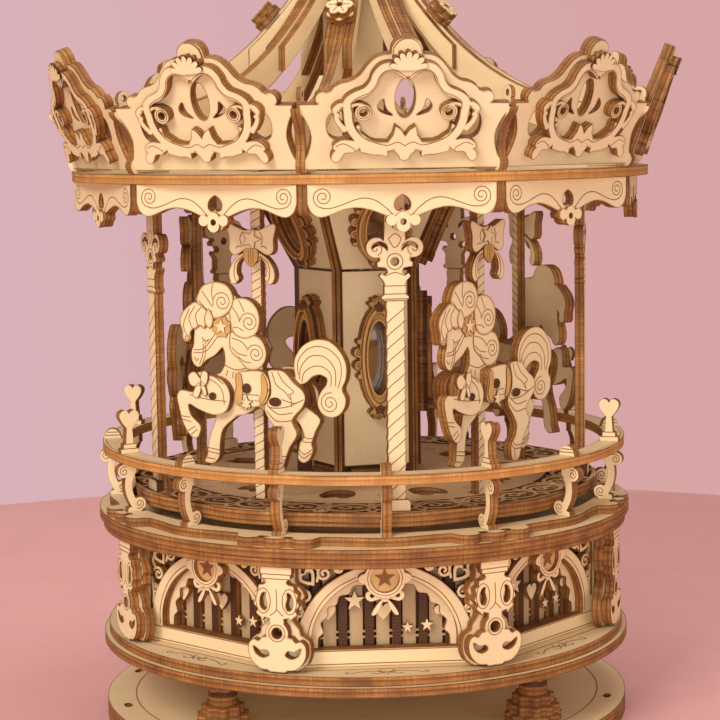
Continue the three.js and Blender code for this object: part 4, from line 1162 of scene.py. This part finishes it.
trim_holes = [circle(0, 0, 78.6, 140)]
for k in range(SIDES):
    for offset in (-2.6, 2.6):
        trim_holes.append(about_axis(circle(0, 0, 1.7, 10, 0.8), 86, 45 * k + 22.5 + offset))
trim = stack((sheet([polar(trim_outline, 320)], trim_holes), 0))
piece("trim_ring", trim, lying(DRUM_TOP), "base", BOARD, copies=False)
RAIL_LOW = RAIL_TOP - PLY
rail = stack((ring_sheet(RAIL_R, RAIL_R - 7), 0), (engrave([circle(0, 0, RAIL_R - 1.2,
    120) + [(RAIL_R - 1.2, 0)]], 0.25), PLY))
piece("rail_ring", rail, lying(RAIL_LOW), "base", (pale, lit_rim_edge, ink), ("gallery_rail",),
    copies=False)


def bracket_mesh(with_post):
    rise = RAIL_LOW - DRUM_TOP - PLY
    spine = smooth([(85.2, rise), (83.9, rise - 2.6), (84.9, rise - 6), (84.8, rise * 0.4), (83.2, rise * 0.16),
        (81.6, 0.9)], 4)
    shapes = line(spine, 2.6, 2.4) + [circle(86.4, rise - 2.7, 2.2, 18), circle(81.4, 2.5, 2.2, 18)]
    shapes += [[(82.2, rise - 3.4), (86.8, rise - 3.4), (86.8, rise), (82.2, rise)],
        [(81, 0), (85.4, 0), (85.2, 1.4), (83, 2), (81, 1.6)]]
    lines = [spiral(86.4, rise - 2.7, 1.6, 0.35, 120, -1.4), spiral(81.4, 2.5, 1.6, 0.35, -60, -1.4)]
    layers = [(sheet(shapes, scorch=0.2), 0)]
    top = rise + PLY
    if with_post:
        base = [(81.2, top), (87.2, top), (87.2, top + 1.4), (86.3, top + 1.6), (86.3, top + 2.8),
            (85.5, top + 3), (85.1, top + 8.6), (83.3, top + 8.6), (82.9, top + 3), (82.1, top + 2.8),
            (82.1, top + 1.6), (81.2, top + 1.4)]
        layers.append((sheet([base, heart(84.2, top + 11, 6.4)], scorch=0.2), 0))
        lines += [[(82.4, top + 3), (86, top + 3)], [(81.8, top + 1.5), (86.8, top + 1.5)]]
    else:
        stub = arc(84.2, top, 2.9, 0, 180, 8, ry=3.4)
        layers.append((sheet([stub], scorch=0.2), 0))
        lines += [[(81.8, top + 1.2), (86.6, top + 1.2)], [(82.4, top + 2.2), (86, top + 2.2)]]
    layers += [(engrave(lines, 0.3), PLY), (engrave([flip(p) for p in lines], 0.3),
        Matrix.Rotation(math.pi, 4, "Y"))]
    return stack(*layers)


bracket_shapes = (bracket_mesh(False), bracket_mesh(True))
for k in range(BRACKETS):
    at = on_edge(360 / BRACKETS * k, DRUM_TOP + PLY)
    piece(f"gallery_bracket_{k + 1}", bracket_shapes[k % 2], at, "base", (upright_pale, edge, ink))

# %% [markdown]
# The drum: two discs below, two above, eight arched boards between them with corner pilasters. Through each arch
# the slatted curtain shows. Each medallion holds a plain star.

# %% Drum discs
FLOOR_LOW, FLOOR_TOP = low("drum_floor"), high("drum_floor")
WALL_TOP = low("drum_top")
TOP_R = 89.0
FLOOR_R = 88.4
top_boards = stack((ring_sheet(TOP_R - 1.2, 14), 0), (ring_sheet(TOP_R, 14), PLY + 0.15))
piece("drum_top_boards", top_boards, lying(WALL_TOP), "base", (pale, edge, ink), stands_for=("drum_top",),
    copies=False)
flourish = []
for side in (1, -1):
    flourish += [[(x * side, y) for x, y in smooth(path)] for path in (
        [(1.4, 0), (4, -1.4), (8, -0.9), (11.6, 0.9), (12.6, -0.4), (11.4, -1.2)],
        [(1, 0.2), (3.2, 1.6), (4.8, 0.6)],
        [(1, -0.4), (2.6, -1.9), (1.6, -2.6)])]
flourish += [star(0, 0, 1.5, 6, 0.5) + [star(0, 0, 1.5, 6, 0.5)[0]]]
floor_lines = []
for k in range(SIDES):
    floor_lines += [about_axis(path, 81.4, 45 * k) for path in flourish]
    floor_lines.append(about_axis([(-28, -4.6), (28, -4.6)], 82, 45 * k))
floor_boards = stack((ring_sheet(FLOOR_R, 2.4), 0), (ring_sheet(FLOOR_R - 1.6, 2.4, thick=PLY - 0.15),
    PLY + 0.15), (engrave(floor_lines, 0.42), 2 * PLY))
piece("drum_floor_boards", floor_boards, lying(FLOOR_LOW), "base", (pale, edge, ink),
    stands_for=("drum_floor",), copies=False)

# %% Drum walls
WALL_TALL = WALL_TOP - FLOOR_TOP
WALL_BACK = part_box("arch_panel_1")[1].y / -MM
WALL_HALF = WALL_BACK * math.tan(math.pi / SIDES) - 0.3


def filigree():
    """Scrolls and a heart in an upper corner, drawn for the right side."""
    ring_lines = [heart(23.3, WALL_TALL - 5, 5.4, -38), heart(23.3, WALL_TALL - 5, 2.9, -38)]
    strokes = line(smooth([(27, WALL_TALL - 1), (25.6, WALL_TALL - 3), (26.6, WALL_TALL - 7),
        (25.4, WALL_TALL - 9.4)]), 0.9)
    strokes += line(spiral(18.2, WALL_TALL - 4, 2.2, 0.5, 60, -1.3), 0.95)
    strokes += line(spiral(24.3, WALL_TALL - 11, 2.2, 0.5, 30, 1.3), 0.95)
    strokes += line(spiral(26.0, WALL_TALL - 16, 1.5, 0.4, 90, 1.2), 0.85)
    strokes += line(spiral(13.7, WALL_TALL - 2.6, 1.4, 0.4, 0, -1.2), 0.85)
    strokes += line(smooth([(21.2, WALL_TALL - 1.6), (20, WALL_TALL - 3.4), (20.4, WALL_TALL - 6.2)]), 0.9)
    strokes += line(smooth([(27.2, WALL_TALL - 12.6), (26.6, WALL_TALL - 18), (27, WALL_TALL - 21)]), 0.9)
    strokes += line(smooth([(16.4, WALL_TALL - 0.4), (15.4, WALL_TALL - 2.4), (12.4, WALL_TALL - 0.6)]), 0.85)
    return ring_lines, strokes


def arch_mesh():
    top = WALL_TALL
    outer_arch = smooth([(26.6, 0), (26.8, 10.5), (25.4, 15.4), (22.2, 21), (17.4, 25.8), (11.6, 29.2),
        (6, 31.2)], 3) + [(0, 31.8)]
    inner_arch = smooth([(22.2, 5.4), (22.2, 10), (21, 14.6), (18, 19.6), (13.6, 23.6), (8, 26.6), (0, 28)], 3)
    opening = inner_arch + flip(inner_arch)[1:]
    outer = [(-WALL_HALF, 0), (WALL_HALF, 0), (WALL_HALF, top), (-WALL_HALF, top)]
    spandrel = [p for p in outer_arch if p[1] > 10.4 and p[0] > 6] + [(6.2, top - 0.9), (27.6, top - 0.9),
        (27.6, 10.4)]
    face = sheet([outer], [opening, spandrel, flip(spandrel)])
    rings, strokes = filigree()
    lace = sheet([rings[0], flip(rings[0])], [rings[1], flip(rings[1])], thick=PLY - 0.3, scorch=0.2)
    lace_lines = sheet(strokes + [flip(s) for s in strokes], thick=PLY - 0.4, scorch=0.15)
    wavy = smooth([(20.2, 5), (20, 8.4), (18.5, 10), (19.2, 13), (17.2, 15), (17, 17.6), (14.4, 18.6),
        (13.4, 21.2), (10.6, 21.8), (9, 24.2), (6, 24.4), (4, 26), (0, 25.4)], 3)
    second = sheet([[(-24.5, 4.6), (24.5, 4.6), (24.5, 14), (17, 25), (6, 30), (-6, 30), (-17, 25),
        (-24.5, 14)]], [wavy + flip(wavy)[1:]])
    edge_line = [p for p in smooth([(23.4, 6), (23.4, 10.4), (22, 15.2), (18.9, 20.5), (14.2, 24.8),
        (8.6, 27.6)], 3)]
    sill = [[(-WALL_HALF + 1, 5.0), (WALL_HALF - 1, 5.0)]]
    medal_y = top - 5.3
    ears = [blob([(5.4, medal_y + 1.6), (7.4, medal_y + 1.2), (8.2, medal_y), (7.4, medal_y - 1.2),
        (5.4, medal_y - 1.6)], 2)]
    medal = sheet([circle(0, medal_y, 6.3, 28, 6.1)] + ears + [flip(e) for e in ears],
        [circle(0, medal_y, 4.45, 24, 4.4)], scorch=0.2)
    disc = sheet([circle(0, medal_y, 5.4, 24)], thick=3.0, scorch=0.2, faces=(4, 3))
    emblem = sheet([star(0, medal_y - 0.1, 3.2)], thick=0.4, scorch=0, faces=(2, 2))
    bow_y = top - 11.5
    loop = blob([(0, bow_y + 0.4), (2.4, bow_y + 2.2), (5.4, bow_y + 2), (5.9, bow_y + 0.2), (4.4, bow_y - 1),
        (2, bow_y - 0.4)], 3)
    tail = blob([(0.6, bow_y - 0.2), (2.6, bow_y - 2.2), (4.2, bow_y - 5), (3, bow_y - 5.2),
        (1.4, bow_y - 2.8)], 2)
    ribbon = sheet([loop, flip(loop), tail, flip(tail), circle(0, bow_y + 0.2, 1.5, 10)],
        [circle(3.9, bow_y + 0.8, 0.7, 8), circle(-3.9, bow_y + 0.8, 0.7, 8)], thick=1.6, scorch=0.15)
    hanging = sheet([heart(0, bow_y - 5.4, 5.0), star(-8.8, top - 13.6, 3.3), star(7.4, top - 22.4, 1.9),
        star(13.4, top - 21.8, 2.1), heart(-17, top - 16.6, 4.6), circle(17.1, top - 17.2, 1.5, 10)],
        thick=1.6, scorch=0.15)
    lines = [edge_line, flip(edge_line)] + sill + [[(-WALL_HALF + 1, 0.9), (WALL_HALF - 1, 0.9)]]
    hoops = [circle(0, medal_y, 5.3, 20) + [(5.3, medal_y)]]
    return stack((face, 0), (lace, 0), (lace_lines, 0), (second, -PLY), (medal, PLY), (disc, 1.6),
        (emblem, 4.6), (ribbon, PLY + 0.4), (hanging, -3), (engrave(lines, 0.32), PLY),
        (engrave(hoops, 0.25), 2 * PLY))


def curtain_mesh():
    top = WALL_TALL - 0.3
    half = (WALL_BACK - 4 - PLY) * math.tan(math.pi / SIDES) - 0.2
    slots, dots = [], []
    for i in range(-3, 4):
        for offset in (-2.5, 2.5):
            x = i * 8.2 + offset
            if abs(x) < half - 1.2:
                slots.append([(x - 0.45, 9.5), (x + 0.45, 9.5), (x + 0.45, top - 1), (x - 0.45, top - 1)])
                slots.append([(x - 0.45, 1), (x + 0.45, 1), (x + 0.45, 7), (x - 0.45, 7)])
                dots.append(circle(x, 8.25, 0.6, 8))
    board = sheet([[(-half, 0), (half, 0), (half, top), (-half, top)]], slots + dots, scorch=0.2)
    bars = sheet([[(x - 1.3, 0), (x + 1.3, 0), (x + 1.3, top), (x - 1.3, top)]
        for x in (-20.6, -12.4, -4.2, 4.2, 12.4, 20.6)], thick=1.6, scorch=0, faces=(1, 1))
    # A dark board in the burnt-patch finish behind the slots and dots: painted shade showing through them.
    dark = sheet([[(-half, 0), (half, 0), (half, top), (-half, top)]], thick=0.8, scorch=0, faces=(3, 3))
    return stack((board, 0), (bars, PLY), (dark, -0.9))


def pilaster_mesh():
    low_half = smooth([(3.2, 1.2), (5.6, 1.5), (7.9, 3.3), (9.2, 6), (9.1, 9), (7.5, 10.5), (6, 10),
        (4.9, 11.2)], 3)
    ring = circle(0, 12.6, 3.7, 22)
    neck = [(2.4, 15.6), (2.3, 17), (4, 17.4), (4.3, 16.4), (5.2, 17.4)]
    wing = smooth([(5.2, 17.4), (6.6, 18.6), (6, 19.8), (7.3, 21.4), (6.6, 23), (7, 24.8), (5.8, 25.6),
        (5.6, 27.2), (4, 27.5), (3.3, 28.2)], 2)
    capital = [(3.6, 28.8), (4.6, 29.4), (4.6, 30.4), (5, 30.8), (5, WALL_TALL)]
    body = both([(0, 0.6), (2.4, 0.6)] + low_half + [(2, 12)])
    upper = both([(0, 12)] + neck + wing + capital)
    smile = blob([(2.6, 5.8), (4.6, 4.9), (6.8, 6), (7.7, 8.2), (6.9, 8), (5.4, 7), (3.4, 7.2)], 2)
    kidney = blob([(3.5, 19.6), (4.9, 20.2), (5.3, 22.4), (4.6, 24.6), (3.4, 25), (3.6, 23.4), (3.0, 21.4)], 2)
    hole = circle(0, 12.6, 1.7, 14)
    fronts = sheet([body, upper, ring], [hole, smile, flip(smile), kidney, flip(kidney)])
    rear_wing = smooth([(5.6, 0.4), (8.6, 2.6), (9.8, 6.4), (9.2, 10), (6.6, 11.6), (6.2, 13.4), (4.2, 15.8),
        (5, 18), (7.4, 19.6), (7, 22), (8, 23.6), (6.6, 26.2), (5.4, 27), (5, 29)], 2)
    rear = sheet([both([(0, 0.2)] + rear_wing + [(5.2, WALL_TALL)])], [hole], scorch=0.8, thick=PLY - 0.2)
    lines = [circle(0, 12.6, 2.6, 18) + [(2.6, 12.6)], [(-4.3, 29.2), (4.3, 29.2)], [(-4.8, 30.6), (4.8, 30.6)]]
    ovals = circle(4.2, 22.4, 2.3, 16, 3.9) + [(6.5, 22.4)]
    lines += [ovals, flip(ovals), smooth([(-2, 18), (0, 20), (0, 26)]), smooth([(2, 18), (0, 20)])]
    return stack((rear, 0), (fronts, PLY), (engrave(lines, 0.3), 2 * PLY))


wall_dark = wood_face("curtain_dark", (0.2, 0.1, 0.045), (0.11, 0.05, 0.022))
emblem_wood = wood_face("emblem_wood", (0.8, 0.52, 0.22), (0.62, 0.36, 0.13))
arch_shape, curtain_shape, pilaster_shape = arch_mesh(), curtain_mesh(), pilaster_mesh()
corner_r = (WALL_BACK + PLY) / math.cos(math.pi / SIDES) + 0.3
for k in range(SIDES):
    turn_to = 45 * k
    piece(f"arch_board_{k + 1}", arch_shape, facing(turn_to, WALL_BACK, FLOOR_TOP), "base",
        (pale, edge, ink, wall_dark, emblem_wood), stands_for=(f"arch_panel_{k + 1}",))
    # The curtain boards carry painted shade: a darkened face, and a dark board behind their slots.
    piece(f"curtain_board_{k + 1}", curtain_shape, facing(turn_to, WALL_BACK - 4 - PLY, FLOOR_TOP), "base",
        (shade, edge, ink, char), ("curtain_wall",) if k == 0 else ())
    piece(f"pilaster_board_{k + 1}", pilaster_shape, facing(turn_to + 22.5, corner_r, FLOOR_TOP), "base",
        (upright_pale, edge, ink), stands_for=(f"pilaster_{k + 1}",))

# %% [markdown]
# Four stacked feet stand on the plinth. Each is a pile of scalloped discs, and the plinth is two discs with an
# engraved circle and small slots.

# %% Feet and plinth
PLINTH_TOP = high("plinth_disc")
foot_discs = (
    (scalloped_disc(9.2, 10, 1.6), PLINTH_TOP),
    (scalloped_disc(8.6, 10, 1.5, 0.3), PLINTH_TOP + PLY),
    (scalloped_disc(6.8, 8, 1.2), PLINTH_TOP + 2 * PLY),
    (scalloped_disc(6.6, 8, 1.2, 0.2), FLOOR_LOW - 2 * PLY),
    (scalloped_disc(8.8, 10, 1.5), FLOOR_LOW - PLY),
)
foot_stem = sheet([circle(0, 0, 4.6, 20)], thick=FLOOR_LOW - PLINTH_TOP - 3 * PLY, scorch=0)
foot_shape = stack(
    *((sheet([disc], scorch=0.2), height) for disc, height in foot_discs), (foot_stem, PLINTH_TOP + 3 * PLY)
)
for k in range(4):
    centre = (Vector(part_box(f"foot_{k + 1}")[0]) + Vector(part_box(f"foot_{k + 1}")[1])) / 2 / MM
    at = Matrix.Scale(MM, 4) @ Matrix.Translation((centre.x, centre.y, 0))
    # the feet take the dark wood, painted shade under the drum floor
    piece(f"stacked_foot_{k + 1}", foot_shape, at, "base", (painted_shade_wood, edge, ink),
        (f"foot_{k + 1}",))
PLINTH_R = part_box("plinth_disc")[1].x / MM
plinth_holes = [about_axis(circle(0, 0, 2.4, 14, 1.2), 82.4, 30 * k + 12) for k in range(12)]
plinth = stack((ring_sheet(PLINTH_R, 3), 0), (sheet([circle(0, 0, PLINTH_R, 160)], plinth_holes), PLY),
    (engrave([circle(0, 0, 78.5, 120) + [(78.5, 0)]], 0.4), 2 * PLY))
piece("plinth_boards", plinth, lying(0), "base", BOARD, stands_for=("plinth_disc",), copies=False)

# %% [markdown]
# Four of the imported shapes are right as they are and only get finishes: the steel spindle, the brass movement,
# the winding key and the wavy cam track.

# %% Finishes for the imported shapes
def metal(name, colour, rough):
    f = Finish(name)
    grain = f.noise(f.stretched(f.node("ShaderNodeTexCoord", (), 3), 60, 600, 60), 4.0)
    f.set(Base_Color=(*colour, 1), Metallic=1.0, Roughness=grain * 0.15 + rough)
    return f.material


def plain_wood(name, light, dark):
    f = Finish(name)
    place = f.node("ShaderNodeTexCoord", (), 3)
    grain = f.noise(f.stretched(place, 60, 60, 700), 4.0, 4.0)
    f.set(Base_Color=f.mix(grain, light, dark), Roughness=0.6)
    return f.material


for node, finish in (("spindle", metal("steel", (0.6, 0.6, 0.58), 0.25)),
    ("music_movement", metal("brass", (0.75, 0.52, 0.2), 0.3)),
    ("winding_key", plain_wood("key_wood", (0.62, 0.36, 0.15), (0.36, 0.16, 0.05))),
    ("cam_track", plain_wood("track_wood", (0.5, 0.25, 0.09), (0.28, 0.11, 0.035)))):
    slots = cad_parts[node].data.materials
    slots.clear()
    slots.append(finish)

# %% [markdown]
# The light is bright and soft: a large warm lamp at the front left, a weaker one on the right, and a rosy floor
# under lavender surroundings. Only the camera sees the lavender; the pieces are lit by a more neutral colour.

# %% Floor and light
def lamp(name, size, power, colour, at, aim):
    data = bpy.data.lights.new(name, "AREA")
    data.size, data.energy, data.color = size, power, colour
    obj = bpy.data.objects.new(name, data)
    obj.location = at
    obj.rotation_euler = (Vector(aim) - Vector(at)).to_track_quat("-Z", "Y").to_euler()
    bpy.context.scene.collection.objects.link(obj)


world = bpy.data.worlds.new("soft_room")
bpy.context.scene.world = world
world.use_nodes = True
sky = world.node_tree
around = sky.nodes["Background"]
around.inputs[0].default_value, around.inputs[1].default_value = (0.78, 0.56, 0.5, 1), 0.52
seen, mixer, path = (sky.nodes.new("ShaderNode" + kind) for kind in ("Background", "MixShader", "LightPath"))
direction, parts, spread, tints = (sky.nodes.new("ShaderNode" + kind)
    for kind in ("TexCoord", "SeparateXYZ", "MapRange", "ValToRGB"))
spread.inputs[1].default_value, spread.inputs[2].default_value = -0.2, 0.2
tints.color_ramp.elements[0].color, tints.color_ramp.elements[1].color = (0.7, 0.47, 0.53, 1), (0.68, 0.38,
    0.37, 1)
sky.links.new(direction.outputs["Generated"], parts.inputs[0])
sky.links.new(parts.outputs[0], spread.inputs[0])
sky.links.new(spread.outputs[0], tints.inputs[0])
sky.links.new(tints.outputs[0], seen.inputs[0])
sky.links.new(path.outputs["Is Camera Ray"], mixer.inputs[0])
sky.links.new(around.outputs[0], mixer.inputs[1])
sky.links.new(seen.outputs[0], mixer.inputs[2])
sky.links.new(mixer.outputs[0], sky.nodes["World Output"].inputs[0])
lamp("key", 0.45, 8.4, (1.0, 0.94, 0.86), (-0.55, -0.85, 0.72), (0, 0, 0.15))
lamp("fill", 0.9, 2.6, (1.0, 0.92, 0.86), (0.8, -0.7, 0.35), (0, 0, 0.12))
lamp("front", 0.35, 3.2, (1.0, 0.95, 0.88), (-0.12, -0.95, 0.12), (0, 0, 0.17))
lamp("top", 0.6, 3.4, (1.0, 0.95, 0.9), (0.1, 0.15, 1.0), (0, 0, 0.2))

floor_bm = bmesh.new()
bmesh.ops.create_circle(floor_bm, cap_ends=True, segments=96, radius=0.42)
floor_mesh = bpy.data.meshes.new("floor")
floor_bm.to_mesh(floor_mesh)
floor_bm.free()
floor = bpy.data.objects.new("floor", floor_mesh)
bpy.context.scene.collection.objects.link(floor)
floor_finish = Finish("pale_floor")
floor_grain = floor_finish.noise(floor_finish.node("ShaderNodeTexCoord", (), 3), 30.0, 3.0)
floor_finish.set(Base_Color=floor_finish.mix(floor_grain, (0.82, 0.46, 0.45), (0.74, 0.39, 0.4)), Roughness=0.7)
floor_mesh.materials.append(floor_finish.material)

scene = bpy.context.scene
scene.view_settings.view_transform = "Standard"
scene.view_settings.look = "None"
scene.cycles.max_bounces = 6
scene.cycles.diffuse_bounces = 3

# %% Finish
print(len(made), "pieces")
